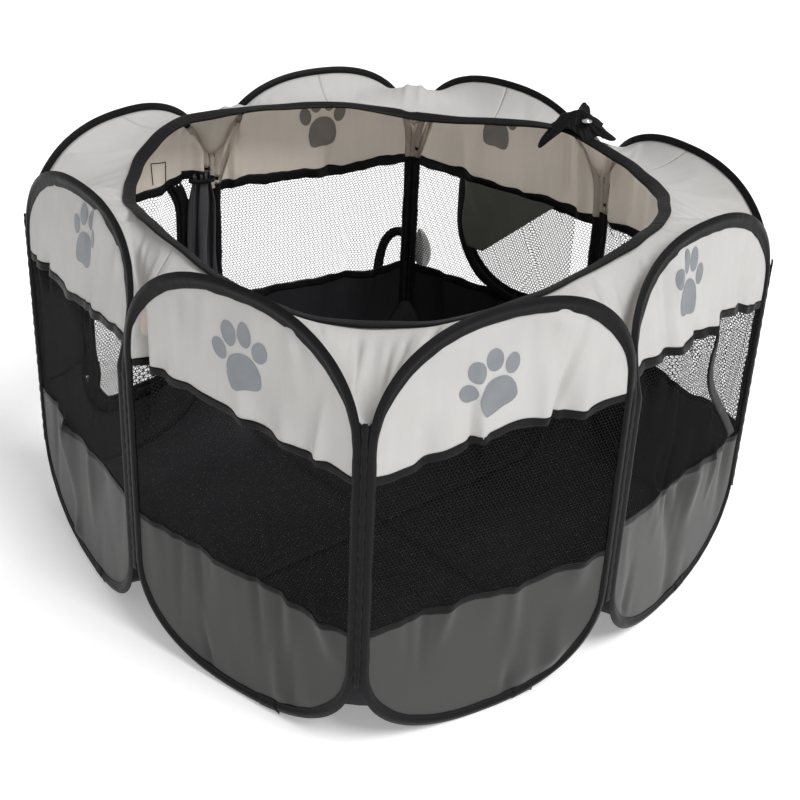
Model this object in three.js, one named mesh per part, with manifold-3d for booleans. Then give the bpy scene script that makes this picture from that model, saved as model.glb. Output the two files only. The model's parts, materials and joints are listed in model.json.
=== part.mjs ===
// Pop-up octagonal pet playpen. Eight fabric walls, each on its own spring-wire hoop, stand in a ring
// round a sewn-in floor. A fabric roof border leans in from the hoops to a round bound opening.
// Units are millimetres, +Z is up, and the origin is the centre of the footprint on the ground.

import * as THREE from "three";
import { mergeVertices } from "three/addons/utils/BufferGeometryUtils.js";
import Module from "manifold-3d";

const wasm = await Module();
wasm.setup();

// The ring of walls.
const SIDE = 377; // one wall, from corner seam to corner seam
const SHARP_TURN = 67; // degrees the ring turns at corners 0, 2, 4 and 6
const SHALLOW_TURN = 90 - SHARP_TURN; // and at corners 1, 3, 5 and 7
const HEIGHT = 590; // ground to the top of a hoop
const WALLS = [
  "left_front",
  "front_left",
  "front_right",
  "right_front",
  "right_rear",
  "rear_right",
  "rear_left",
  "left_rear",
];

// One hoop: spring wire in a folded binding sleeve.
const SEAM_GAP = 1.8; // corner seam line to the edge of a sleeve
const TOP_RISE = 158; // height of the arched top of the hoop
const BOTTOM_RISE = 143;
const ARCH_POWER = 2.35; // 2 is an ellipse, more is squarer
const TOP_STEPS = 14;
const BOTTOM_STEPS = 10;
const WIRE_INSET = 9.5; // outer edge of the sleeve to the wire
const WIRE_RADIUS = 1.5;
const SLEEVE_SECTION = [
  // open channel round the wire: [outwards, across the wall]
  [9.5, 0.5],
  [0.5, 3.5],
  [-14, 1.5],
  [-14, 0.95],
  [-1.9, 0.95],
  [0, 2.65],
  [2.65, 0],
  [0, -2.65],
  [-1.9, -0.95],
  [-14, -0.95],
  [-14, -1.5],
  [0.5, -3.5],
  [9.5, -0.5],
];
const SLEEVE_INNER = WIRE_INSET + 14; // outer edge of the sleeve to its open edge

// The wall fabric held in the sleeve.
const FABRIC = 0.9; // thickness
const FABRIC_INSET = WIRE_INSET + 4.2;
const UPPER_EDGE = 415; // height where the upper band meets the mesh
const LOWER_EDGE = 204; // height where the mesh meets the lower band
const SEW_GAP = 0.3;
const HEM = 17; // height of the black hem tape
const HEM_THICK = 2.4;
const TAPE = 14; // width of zip tapes and seam tapes

// The arched top of some hoops leans in. The lean is [at the first corner, at the last corner],
// measured at the full height, and it grows from nothing at the lower edge of the upper band.
const LEAN = {
  left_front: [0, 50],
  right_front: [50, 0],
  right_rear: [0, 22],
  rear_right: [24, 0],
};

// Doors. Both are measured along the wall from its first corner.
const SIDE_DOOR = { wall: 7, x0: 68, x1: 275, z0: 115, z1: 396, corner: 36, farCorner: 36 };
const REAR_DOOR = { wall: 5, x0: 46, x1: 262, z0: 220, z1: 396, corner: 12, farCorner: 120 };
const DOOR_GAP = 1.5;
const DOOR_BORDER_THICK = 2;

// Roof border, rim and floor.
const ROOF_THICK = 1;
const ROOF_START = 4.4; // wall plane to the outer edge of the roof border
const ROOF_DROP = 12; // top of the hoop to the edge of the roof border
const VALLEY_Z = 486; // where two roof borders meet between the hoops
const RIM_RADIUS = 370;
const RIM_WIDTH = 28;
const RIM_THICK = 2.4;
const RIM_Z = 545;
const RIM_WAVE = 13; // the rim dips by this at the sharp corners and rises between them
const RIM_SADDLE = 17; // it is higher at the two sides than at the front and back
const RIM_TILT = 8; // and it slopes down to the front
const RIM_STEPS = 40;
const FLOOR_INSET = 8;
const FLOOR_CUT = 82; // how far each way from a corner the floor is cut off
const FLOOR_THICK = 2;

const COLOURS = {
  steel: [0x9a9da0, 0.3, 0.9],
  black: [0x1d1d1f, 0.7, 0],
  mesh: [0x161616, 0.9, 0],
  lightGrey: [0xc7c7c2, 0.8, 0],
  darkGrey: [0x53544f, 0.8, 0],
  white: [0xe8e8e6, 0.6, 0],
};

function material(name) {
  const [color, roughness, metalness] = COLOURS[name];
  return new THREE.MeshStandardMaterial({ color, roughness, metalness });
}

const radians = THREE.MathUtils.degToRad;

// ---- the ring ----

function ringCorners() {
  const corners = [];
  const point = new THREE.Vector2(0, 0);
  let heading = 0;
  for (let k = 0; k < 8; k++) {
    corners.push(point.clone());
    point.add(new THREE.Vector2(SIDE * Math.cos(heading), SIDE * Math.sin(heading)));
    heading += radians(k % 2 === 0 ? SHALLOW_TURN : SHARP_TURN);
  }
  const centre = corners.reduce((sum, c) => sum.add(c), new THREE.Vector2()).multiplyScalar(1 / 8);
  const front = corners[2].clone().sub(centre).angle();
  return corners.map((c) => c.sub(centre).rotateAround(new THREE.Vector2(), -Math.PI / 2 - front));
}

const CORNERS = ringCorners();

// A group whose X runs along wall k, Y points into the pen and Z is up.
function wallGroup(k) {
  const start = CORNERS[k];
  const end = CORNERS[(k + 1) % 8];
  const group = new THREE.Group();
  group.position.set(start.x, start.y, 0);
  group.rotation.z = Math.atan2(end.y - start.y, end.x - start.x);
  group.updateMatrixWorld(true);
  return group;
}

// ---- geometry helpers ----

function toSolid(geometry) {
  const plain = geometry.clone();
  plain.deleteAttribute("normal");
  plain.deleteAttribute("uv");
  const merged = mergeVertices(plain, 1e-4);
  return new wasm.Manifold(
    new wasm.Mesh({
      numProp: 3,
      vertProperties: merged.attributes.position.array,
      triVerts: new Uint32Array(merged.index.array),
    }),
  );
}

function toGeometry(solid) {
  const mesh = solid.getMesh();
  const geometry = new THREE.BufferGeometry();
  geometry.setAttribute("position", new THREE.BufferAttribute(mesh.vertProperties, 3));
  geometry.setIndex(new THREE.BufferAttribute(mesh.triVerts, 1));
  return geometry;
}

function union(...geometries) {
  return toGeometry(geometries.map(toSolid).reduce((a, b) => a.add(b)));
}

// A closed surface from points and triangles, turned so that its faces point outwards.
function closedSurface(points, triangles) {
  const geometry = new THREE.BufferGeometry().setFromPoints(points);
  let volume = 0;
  for (const [a, b, c] of triangles) {
    volume += points[a].dot(points[b].clone().cross(points[c]));
  }
  const outward = volume < 0 ? triangles.map(([a, b, c]) => [a, c, b]) : triangles;
  geometry.setIndex(outward.flat());
  return geometry;
}

// Rings of equal length joined into one skin. The rings close on each other, or get flat ends.
function skin(rings, closed) {
  const size = rings[0].length;
  const triangles = [];
  const last = closed ? rings.length : rings.length - 1;
  for (let i = 0; i < last; i++) {
    const j = (i + 1) % rings.length;
    for (let s = 0; s < size; s++) {
      const t = (s + 1) % size;
      triangles.push([i * size + s, i * size + t, j * size + t]);
      triangles.push([i * size + s, j * size + t, j * size + s]);
    }
  }
  if (!closed) {
    const end = (rings.length - 1) * size;
    for (let s = 1; s < size - 1; s++) {
      triangles.push([0, s + 1, s]);
      triangles.push([end, end + s, end + s + 1]);
    }
  }
  return closedSurface(rings.flat(), triangles);
}

// A slab between two edges of equal length, made thick by a vector. Both faces share a diagonal.
function slab(outer, inner, up) {
  const points = outer.flatMap((edge, i) => {
    return [edge, inner[i], edge.clone().add(up), inner[i].clone().add(up)];
  });
  const triangles = [];
  const quad = (a, b, c, d) => triangles.push([a, b, c], [a, c, d]);
  for (let i = 0; i < outer.length - 1; i++) {
    const p = 4 * i;
    const q = p + 4;
    triangles.push([p, p + 1, q + 1], [p, q + 1, q]);
    triangles.push([p + 2, q + 3, p + 3], [p + 2, q + 2, q + 3]);
    quad(p, q, q + 2, p + 2);
    quad(p + 1, p + 3, q + 3, q + 1);
  }
  const end = 4 * (outer.length - 1);
  quad(0, 2, 3, 1);
  quad(end, end + 1, end + 3, end + 2);
  return closedSurface(points, triangles);
}

// A flat outline of [x, z] points given a thickness across the wall, centred on the plane y.
function plate(outline, thickness, y = 0, holes = []) {
  const shape = new THREE.Shape(outline.map(([x, z]) => new THREE.Vector2(x, z)));
  for (const hole of holes) {
    shape.holes.push(new THREE.Path(hole.map(([x, z]) => new THREE.Vector2(x, z))));
  }
  const geometry = new THREE.ExtrudeGeometry(shape, { depth: thickness, bevelEnabled: false });
  geometry.rotateX(Math.PI / 2);
  geometry.translate(0, y + thickness / 2, 0);
  return geometry;
}

function rectangle(x0, x1, z0, z1) {
  return [
    [x0, z0],
    [x1, z0],
    [x1, z1],
    [x0, z1],
  ];
}

// ---- the hoop ----

function arch(half, rise, middle, steps, start) {
  const points = [];
  for (let i = 0; i <= steps; i++) {
    const angle = start + (Math.PI * i) / steps;
    const c = Math.cos(angle);
    const s = Math.sin(angle);
    const x = half * Math.sign(c) * Math.abs(c) ** (2 / ARCH_POWER);
    const z = rise * Math.sign(s) * Math.abs(s) ** (2 / ARCH_POWER);
    points.push([SIDE / 2 + x, middle + z]);
  }
  return points;
}

// The hoop's outline, drawn in from its outer edge by an inset.
function hoopOutline(inset) {
  const half = SIDE / 2 - SEAM_GAP - inset;
  return [
    ...arch(half, TOP_RISE - inset, HEIGHT - TOP_RISE, TOP_STEPS, 0),
    [SIDE / 2 - half, UPPER_EDGE],
    ...arch(half, BOTTOM_RISE - inset, BOTTOM_RISE, BOTTOM_STEPS, Math.PI),
    [SIDE / 2 + half, UPPER_EDGE],
  ];
}

// How far a point of a wall leans in.
function leanAt(wall, x, z) {
  const [first, last] = LEAN[wall] ?? [0, 0];
  const share = Math.max(0, z - UPPER_EDGE) / (HEIGHT - UPPER_EDGE);
  return (first + ((last - first) * x) / SIDE) * share;
}

// A section of [outwards, across] points carried round the hoop.
function hoopSweep(section, wall) {
  const path = hoopOutline(WIRE_INSET);
  const rings = path.map(([x, z], i) => {
    const before = path[(i + path.length - 1) % path.length];
    const after = path[(i + 1) % path.length];
    const along = new THREE.Vector2(after[0] - before[0], after[1] - before[1]).normalize();
    return section.map(([out, across]) => {
      const px = x + along.y * out;
      const pz = z - along.x * out;
      return new THREE.Vector3(px, across + leanAt(wall, px, pz), pz);
    });
  });
  return skin(rings, true);
}

function hoopWire(wall) {
  const section = [];
  for (let i = 0; i < 6; i++) {
    const angle = (i * Math.PI) / 3;
    section.push([WIRE_RADIUS * Math.cos(angle), WIRE_RADIUS * Math.sin(angle)]);
  }
  return hoopSweep(section, wall);
}

// ---- the wall fabric ----

// The part of a convex outline between two heights.
function slice(outline, low, high) {
  const keep = (points, inside, level) => {
    const kept = [];
    points.forEach((a, i) => {
      const b = points[(i + 1) % points.length];
      if (inside(a[1])) kept.push(a);
      if (inside(a[1]) !== inside(b[1])) {
        const t = (level - a[1]) / (b[1] - a[1]);
        kept.push([a[0] + t * (b[0] - a[0]), level]);
      }
    });
    return kept;
  };
  const above = keep(outline, (z) => z > low, low);
  return keep(above, (z) => z < high, high);
}

// The upper band stands on a straight edge and ends in the arch, and leans with its hoop.
function upperBand(wall) {
  const half = SIDE / 2 - SEAM_GAP - FABRIC_INSET;
  const top = arch(half, TOP_RISE - FABRIC_INSET, HEIGHT - TOP_RISE, TOP_STEPS, 0);
  const across = new THREE.Vector3(0, FABRIC, 0);
  const point = (x, z) => new THREE.Vector3(x, leanAt(wall, x, z) - FABRIC / 2, z);
  const upper = top.map(([x, z]) => point(x, z));
  const lower = top.map(([x]) => point(x, UPPER_EDGE + SEW_GAP));
  return slab(upper, lower, across);
}

function hemTape(z0, z1) {
  const x0 = SEAM_GAP + SLEEVE_INNER + 0.6;
  return plate(rectangle(x0, SIDE - x0, z0, z1), HEM_THICK);
}

function seamTape(x, z0, z1) {
  return plate(rectangle(x - TAPE / 2, x + TAPE / 2, z0, z1), HEM_THICK);
}

function meshSheet(holes = []) {
  return plate(slice(hoopOutline(FABRIC_INSET), LOWER_EDGE, UPPER_EDGE), FABRIC, 0, holes);
}

function meshWindow(...tapes) {
  const top = hemTape(UPPER_EDGE - HEM, UPPER_EDGE);
  const bottom = hemTape(LOWER_EDGE, LOWER_EDGE + HEM);
  return union(meshSheet(), top, bottom, ...tapes);
}

// The outline of a doorway, grown by a margin. Its far lower corner is the rounder one.
function doorOutline(door, grow) {
  const x0 = door.x0 - grow;
  const x1 = door.x1 + grow;
  const z0 = door.z0 - grow;
  const z1 = door.z1 + grow;
  const near = Math.max(door.corner + grow, 1);
  const far = Math.max(door.farCorner + grow, 1);
  const path = new THREE.Path();
  path.moveTo(x0 + near, z0);
  path.lineTo(x1 - far, z0);
  path.absarc(x1 - far, z0 + far, far, -Math.PI / 2, 0, false);
  path.lineTo(x1, z1 - near);
  path.absarc(x1 - near, z1 - near, near, 0, Math.PI / 2, false);
  path.lineTo(x0 + near, z1);
  path.absarc(x0 + near, z1 - near, near, Math.PI / 2, Math.PI, false);
  path.lineTo(x0, z0 + near);
  path.absarc(x0 + near, z0 + near, near, Math.PI, 1.5 * Math.PI, false);
  const points = path.getPoints(5);
  const distinct = points.filter((p, i) => i === 0 || p.distanceTo(points[i - 1]) > 0.01);
  if (distinct[0].distanceTo(distinct[distinct.length - 1]) < 0.01) distinct.pop();
  return distinct.map((p) => [p.x, p.y]);
}

function doorCutter(door) {
  return toSolid(plate(doorOutline(door, DOOR_GAP), 20));
}

// The zip tape sewn round the doorway, clipped to the heights of one fabric piece.
function doorTape(door, low, high) {
  const ring = toSolid(plate(doorOutline(door, DOOR_GAP + TAPE), HEM_THICK));
  const clip = toSolid(plate(rectangle(0, SIDE, low, high), 20));
  return ring.intersect(clip);
}

function sideDoorMesh() {
  const window = toSolid(meshWindow());
  const taped = window.add(doorTape(SIDE_DOOR, LOWER_EDGE, UPPER_EDGE));
  return toGeometry(taped.subtract(doorCutter(SIDE_DOOR)));
}

function rearDoorMesh() {
  const window = toSolid(meshWindow());
  const taped = window.add(doorTape(REAR_DOOR, LOWER_EDGE, UPPER_EDGE));
  return toGeometry(taped.subtract(doorCutter(REAR_DOOR)));
}

function lowerBand() {
  return plate(slice(hoopOutline(FABRIC_INSET), 0, LOWER_EDGE - SEW_GAP), FABRIC);
}

function sideDoorLowerBand() {
  const band = toSolid(lowerBand());
  const taped = band.add(doorTape(SIDE_DOOR, 0, LOWER_EDGE - SEW_GAP));
  return toGeometry(taped.subtract(doorCutter(SIDE_DOOR)));
}

// A door leaf: mesh in a bound border, sewn to the wall along its near edge.
function doorLeaf(door) {
  const edge = doorOutline(door, 0);
  const sheet = plate(edge, FABRIC);
  const border = plate(edge, DOOR_BORDER_THICK, 0, [doorOutline(door, -TAPE + 2)]);
  return union(sheet, border);
}

// ---- roof border, rim and floor ----

function rimPoint(angle, radius) {
  const wave = RIM_SADDLE * Math.cos(2 * angle) - RIM_WAVE * Math.cos(4 * angle);
  const z = RIM_Z + wave + RIM_TILT * Math.sin(angle);
  return new THREE.Vector3(radius * Math.cos(angle), radius * Math.sin(angle), z);
}

// A cloth panel from the arched top of the hoop in to its stretch of the rim.
function roofBorder(k, group) {
  const wall = WALLS[k];
  const toWall = group.matrixWorld.clone().invert();
  const outer = arch(
    SIDE / 2 - SEAM_GAP - ROOF_DROP,
    TOP_RISE - ROOF_DROP,
    HEIGHT - TOP_RISE,
    TOP_STEPS,
    0,
  )
    .filter(([, z]) => z > VALLEY_Z)
    .map(([x, z]) => new THREE.Vector3(x, ROOF_START + leanAt(wall, x, z), z))
    .reverse();
  const startTurn = radians(k % 2 === 0 ? SHARP_TURN : SHALLOW_TURN);
  const endTurn = radians(k % 2 === 0 ? SHALLOW_TURN : SHARP_TURN);
  const foot = VALLEY_Z - 6;
  const startY = ROOF_START + leanAt(wall, 0, foot);
  const endY = ROOF_START + leanAt(wall, SIDE, foot);
  const startX = startY * Math.tan(startTurn / 2) + 0.5;
  const endX = SIDE - endY * Math.tan(endTurn / 2) - 0.5;
  outer.unshift(new THREE.Vector3(startX, startY, foot));
  outer.push(new THREE.Vector3(endX, endY, foot));
  const from = CORNERS[k].angle();
  let to = CORNERS[(k + 1) % 8].angle();
  if (to < from) to += 2 * Math.PI;
  const trim = 0.8 / RIM_RADIUS;
  const inner = outer.map((edge, i) => {
    const angle = from + trim + ((to - from - 2 * trim) * i) / (outer.length - 1);
    return rimPoint(angle, RIM_RADIUS + 0.8).applyMatrix4(toWall);
  });
  return slab(outer, inner, new THREE.Vector3(0, 0, ROOF_THICK));
}

function rimBinding() {
  const rings = [];
  for (let i = 0; i < RIM_STEPS; i++) {
    const angle = (2 * Math.PI * i) / RIM_STEPS;
    const outside = rimPoint(angle, RIM_RADIUS);
    const inside = rimPoint(angle, RIM_RADIUS - RIM_WIDTH);
    const up = new THREE.Vector3(0, 0, RIM_THICK);
    rings.push([outside, inside, inside.clone().add(up), outside.clone().add(up)]);
  }
  return skin(rings, true);
}

// The floor is pulled in across each corner, where the hoops curve up off the ground.
function floorPanel() {
  const outline = CORNERS.flatMap((corner, k) => {
    return [CORNERS[(k + 7) % 8], CORNERS[(k + 1) % 8]].map((neighbour) => {
      const point = corner.clone().lerp(neighbour, FLOOR_CUT / SIDE);
      return point.multiplyScalar(1 - FLOOR_INSET / point.length());
    });
  });
  const shape = new THREE.Shape(outline);
  return new THREE.ExtrudeGeometry(shape, { depth: FLOOR_THICK, bevelEnabled: false });
}

// ---- small pieces ----

// A zip slider with its pull tab, standing just outside the zip tape.
function zipPull(x, z) {
  const slider = plate(rectangle(x - 4, x + 4, z, z + 12), 4, -4);
  const tab = plate(rectangle(x - 2.5, x + 2.5, z - 26, z + 3), 1.6, -5.2);
  return union(slider, tab);
}

// The dark cloth folded up behind the rear door leaf.
function rearCurtain() {
  const door = REAR_DOOR;
  const outline = [
    [door.x0 + 26, door.z1 - 14],
    [door.x1 - 84, door.z0 + 20],
    [door.x1 - 30, door.z0 + 78],
    [door.x1 - 14, door.z1 - 14],
  ];
  return plate(outline.reverse(), 1.2, -3);
}

// The side door's cloth curtain, gathered and tied so that it hangs beside the doorway.
function curtainRoll() {
  const middle = 29;
  const rings = [
    [486, 14, 5],
    [470, 22, 7],
    [420, 23, 8],
    [340, 19, 9],
    [260, 21, 8],
    [206, 17, 6],
  ].map(([z, halfWide, halfDeep]) => {
    const ring = [];
    for (let i = 0; i < 12; i++) {
      const angle = (i * Math.PI) / 6;
      const x = middle + halfWide * Math.cos(angle);
      ring.push(new THREE.Vector3(x, 14 + halfDeep * Math.sin(angle), z));
    }
    return ring;
  });
  return skin(rings, false);
}

// A webbing carry loop standing outside the rear corner, sewn down at both ends.
function carryHandle() {
  const outline = [];
  const hole = [];
  const wide = 62;
  const webbing = 24;
  for (let i = 0; i <= 16; i++) {
    const angle = (Math.PI * i) / 16;
    outline.push([wide * Math.cos(angle), 232 + 58 * Math.sin(angle)]);
    hole.push([(wide - webbing) * Math.cos(angle), 232 + (58 - webbing) * Math.sin(angle)]);
  }
  outline.push([-16, 140], [16, 140]);
  hole.push([-6, 186], [6, 186]);
  return plate(outline, 2.4, 0, [hole]);
}

function handleTag() {
  return plate(rectangle(6, 33, 196, 250), 0.8, 0);
}

// Gathered cloth strap that lies in the valley between two hoops and holds the rim to them.
// Each station is [distance from the centre, height of its keel, height of its wings, half width, depth].
const STRAP_STATIONS = [
  [428, 508, 517, 15, 9],
  [416, 521, 531, 25, 15],
  [396, 543, 555, 33, 17],
  [374, 567, 569, 34, 12],
  [344, 569, 569, 30, 7],
];

function cornerStrap() {
  const rings = STRAP_STATIONS.map(([radius, keel, wing, half, depth]) => [
    new THREE.Vector3(radius, -half, wing),
    new THREE.Vector3(radius, 0, keel),
    new THREE.Vector3(radius, half, wing),
    new THREE.Vector3(radius, half * 0.8, wing + depth * 0.7),
    new THREE.Vector3(radius, 0, wing + depth),
    new THREE.Vector3(radius, -half * 0.8, wing + depth * 0.7),
  ]);
  return skin(rings, false);
}

function snapButton() {
  const cap = new THREE.CylinderGeometry(5.5, 7.5, 3, 20);
  cap.rotateX(Math.PI / 2);
  return cap;
}

// ---- assembly ----

const playpen = new THREE.Group();
playpen.name = "pet_playpen";

function add(parent, name, geometry, colour) {
  const mesh = new THREE.Mesh(geometry, material(colour));
  mesh.name = name;
  parent.add(mesh);
  return mesh;
}

WALLS.forEach((wall, k) => {
  const group = wallGroup(k);
  playpen.add(group);
  add(group, wall + "_hoop_wire", hoopWire(wall), "steel");
  add(group, wall + "_sleeve", hoopSweep(SLEEVE_SECTION, wall), "black");
  add(group, wall + "_upper_band", upperBand(wall), "lightGrey");
  add(group, wall + "_roof_border", roofBorder(k, group), "lightGrey");
  if (k === SIDE_DOOR.wall) {
    add(group, wall + "_mesh_window", sideDoorMesh(), "mesh");
    add(group, wall + "_lower_band", sideDoorLowerBand(), "darkGrey");
    add(group, "side_door_leaf", doorLeaf(SIDE_DOOR), "mesh");
    add(group, "side_door_curtain", curtainRoll(), "darkGrey");
    add(group, "side_door_zip_pull", zipPull(SIDE_DOOR.x1 + TAPE / 2, 170), "steel");
  } else if (k === REAR_DOOR.wall) {
    add(group, wall + "_mesh_window", rearDoorMesh(), "mesh");
    add(group, wall + "_lower_band", lowerBand(), "darkGrey");
    add(group, "rear_door_leaf", doorLeaf(REAR_DOOR), "mesh");
    add(group, "rear_door_curtain", rearCurtain(), "darkGrey");
    add(group, "rear_door_zip_pull", zipPull(REAR_DOOR.x1 + TAPE / 2, 345), "steel");
  } else {
    const tapes = wall === "right_front" ? [seamTape(222, LOWER_EDGE, UPPER_EDGE)] : [];
    add(group, wall + "_mesh_window", meshWindow(...tapes), "mesh");
    add(group, wall + "_lower_band", lowerBand(), "darkGrey");
  }
});

add(playpen, "rim_binding", rimBinding(), "black");
add(playpen, "floor_panel", floorPanel(), "black");

// The carry loop stands square to the line from the centre to the rear corner.
const rear = new THREE.Group();
rear.position.set(CORNERS[6].x, CORNERS[6].y + 7, 0);
rear.rotation.z = Math.PI;
playpen.add(rear);
add(rear, "carry_handle", carryHandle(), "black");
const label = new THREE.Group();
label.position.set(0, -3, 0);
rear.add(label);
add(label, "handle_tag", handleTag(), "white");

// The strap lies along the line from the centre to the rear right corner.
const strapGroup = new THREE.Group();
strapGroup.rotation.z = CORNERS[5].angle();
playpen.add(strapGroup);
add(strapGroup, "corner_strap", cornerStrap(), "black");
const snap = add(strapGroup, "snap_button", snapButton(), "steel");
snap.position.set(RIM_RADIUS + 4, 0, 584);

export default playpen;
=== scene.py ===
"""Looks of the fold-up fabric pet playpen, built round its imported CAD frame.

Walls are numbered round the ring, and each one has its own flat coordinates: x runs along the wall
from its first corner, z is the height and y points into the pen. Everything is in metres.
"""

import json
import math

import bmesh
import bpy
import numpy as np
from mathutils import Matrix, Vector


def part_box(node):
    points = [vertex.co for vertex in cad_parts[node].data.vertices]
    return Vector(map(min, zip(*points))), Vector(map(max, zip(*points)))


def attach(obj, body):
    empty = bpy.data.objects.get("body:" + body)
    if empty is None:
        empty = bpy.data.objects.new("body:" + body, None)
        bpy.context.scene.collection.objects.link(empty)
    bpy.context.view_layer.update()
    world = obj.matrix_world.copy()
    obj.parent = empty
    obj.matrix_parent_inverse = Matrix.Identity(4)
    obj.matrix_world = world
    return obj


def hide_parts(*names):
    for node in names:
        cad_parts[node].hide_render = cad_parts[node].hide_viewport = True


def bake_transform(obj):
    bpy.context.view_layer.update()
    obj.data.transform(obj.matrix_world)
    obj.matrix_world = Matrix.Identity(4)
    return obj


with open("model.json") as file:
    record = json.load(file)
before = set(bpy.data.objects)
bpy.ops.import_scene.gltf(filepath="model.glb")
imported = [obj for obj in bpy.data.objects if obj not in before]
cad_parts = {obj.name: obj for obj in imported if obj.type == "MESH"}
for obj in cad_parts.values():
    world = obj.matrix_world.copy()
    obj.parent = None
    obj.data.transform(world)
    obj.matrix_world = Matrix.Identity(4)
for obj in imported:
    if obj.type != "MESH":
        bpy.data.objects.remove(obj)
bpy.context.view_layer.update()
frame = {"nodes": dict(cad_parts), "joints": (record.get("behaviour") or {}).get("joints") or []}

# ---- driving sizes ----

WALL_NAMES = [
    "left_front",
    "front_left",
    "front_right",
    "right_front",
    "right_rear",
    "rear_right",
    "rear_left",
    "left_rear",
]
# The fold joints' corners, in the order of the ring. The joint tree leaves one corner out.
CORNER_NAMES = ["left", None, "front", "front_right", "right", "rear_right", "rear", "rear_left"]
OPEN_CORNER = 1
REAR_CORNERS = (5, 6, 7)

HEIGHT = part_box("front_left_sleeve")[1].z
SEAM_GAP = 0.0018  # corner line to the side of a hoop
TOP_RISE = 0.158  # height of the arch at the top of a hoop
BOTTOM_RISE = 0.143
ARCH_POWER = 2.35  # 2 is an ellipse, more is squarer
# Distances inwards from the outline of a hoop.
WIRE_INSET = 0.0095
FABRIC_INSET = 0.0137
SIDE_INSET = 0.0122
SLEEVE_INNER = 0.0160
UPPER_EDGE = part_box("front_left_upper_band")[0].z
LOWER_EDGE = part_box("front_left_lower_band")[1].z
HEM = [0.009, 0.009, 0.009, 0.010, 0.013, 0.015, 0.015, 0.012]  # height of each wall's hem tape
TAPE = 0.014
CLOTH = 0.0006  # thickness
FLOOR_CLOTH = 0.0012
GROUND_CLEARANCE = 0.0002

# How far the two seams of each wall stand above their level, as [share of the wall, rise].
UPPER_SEAM_RISE = [
    [(0, 0.013), (1, 0.036)],
    [(0, 0.016), (0.5, 0.014), (1, -0.013)],
    [(0, -0.012), (0.5, 0.014), (1, 0.011)],
    [(0, 0.036), (0.585, 0.026), (0.605, 0.037), (1, 0.002)],
    [(0, -0.002), (0.3, -0.013), (1, 0.0)],
    [(0, -0.011), (0.5, -0.008), (1, 0.0)],
    [(0, 0.0), (1, 0.006)],
    [(0, 0.040), (0.4, 0.030), (1, 0.015)],
]
LOWER_SEAM_RISE = [
    [(0, 0.0), (1, 0.014)],
    [(0, 0.0), (1, -0.021)],
    [(0, -0.016), (1, -0.011)],
    [(0, 0.022), (1, 0.0)],
    [(0, 0.0), (1, 0.002)],
    [(0, 0.0), (1, 0.0)],
    [(0, 0.0), (1, 0.003)],
    [(0, 0.002), (1, 0.004)],
]

# Deep folds of single walls: where, how wide, how deep and between which heights.
DEEP_FOLDS = {
    4: [(0.336, 0.012, 0.015, 0.40, 0.54), (0.310, 0.010, -0.008, 0.42, 0.54)],
    5: [(0.040, 0.013, 0.014, 0.40, 0.54), (0.068, 0.010, -0.008, 0.42, 0.54)],
    6: [(0.340, 0.012, 0.012, 0.42, 0.54)],
    7: [(0.036, 0.014, 0.018, 0.42, 0.54), (0.060, 0.010, -0.008, 0.44, 0.54)],
    1: [(0.030, 0.020, 0.034, 0.36, 0.56)],
    3: [(0.098, 0.020, 0.009, 0.40, 0.58)],
}

ROOF_DROP = 0.012  # top of a hoop to the edge of the roof cloth
ROOF_START = 0.0044  # plane of a wall to the edge of the roof cloth
VALLEY_Z = 0.480  # where the roof cloths of two hoops meet
RIM_RADIUS = 0.370
RIM_WIDTH = 0.017
RIM_TILT = 0.004  # the inner edge of the binding hangs this much lower than the outer edge
# Height of the rim at sixteen stations, from the right corner round to the rear, left and front.
RIM_HEIGHTS = [
    0.560, 0.553, 0.556, 0.547, 0.539, 0.557, 0.563, 0.578,
    0.554, 0.560, 0.561, 0.531, 0.519, 0.541, 0.567, 0.574,
]


# ---- the ring of walls ----

def ring_corners():
    corners = [None] * 8
    joints = {joint["name"]: joint["pos_m"] for joint in frame["joints"] if "pos_m" in joint}
    for index, name in enumerate(CORNER_NAMES):
        if name:
            corners[index] = np.array(joints["fold_%s_corner" % name][:2])
    corners[OPEN_CORNER] = corners[3] * (-1, 1)
    return corners


CORNERS = ring_corners()
SIDE = float(np.linalg.norm(CORNERS[3] - CORNERS[2]))
MIDDLE = SIDE / 2


def smoothstep(low, high, value):
    t = np.clip((value - low) / (high - low), 0, 1)
    return t * t * (3 - 2 * t)


def hump(value, middle, width):
    """1 in the middle, falling smoothly to 0 on both sides."""
    return np.exp(-(((value - middle) / width) ** 2))


def between(start, full, fade, end, value):
    """Rises smoothly from start to full, and falls smoothly from fade to end."""
    return smoothstep(start, full, value) * (1 - smoothstep(fade, end, value))


def stacked(*columns):
    return np.stack(np.broadcast_arrays(*columns), -1)


def unit(vectors):
    return vectors / np.linalg.norm(vectors, axis=-1, keepdims=True)


def run_lengths(points):
    """Distance from the start of a line to each of its points."""
    steps = np.linalg.norm(np.diff(points, axis=0), axis=1)
    return np.concatenate([[0], np.cumsum(steps)])


def pair_grid(rows, columns):
    """A [row, column] pair for every point of a grid."""
    return np.stack(np.meshgrid(rows, columns, indexing="ij"), -1)


def arch_share(x, inset):
    """How high the arch has come, from 0 at the sides of the hoop to 1 in the middle."""
    t = np.clip(np.abs(x - MIDDLE) / (MIDDLE - SEAM_GAP - inset), 0, 1)
    return (1 - t**ARCH_POWER) ** (1 / ARCH_POWER)


def arch_top(x, inset):
    """Height of the arched top of a hoop, drawn in by an inset."""
    return HEIGHT - TOP_RISE + (TOP_RISE - inset) * arch_share(x, inset)


def arch_bottom(x, inset):
    return BOTTOM_RISE - (BOTTOM_RISE - inset) * arch_share(x, inset)


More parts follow.
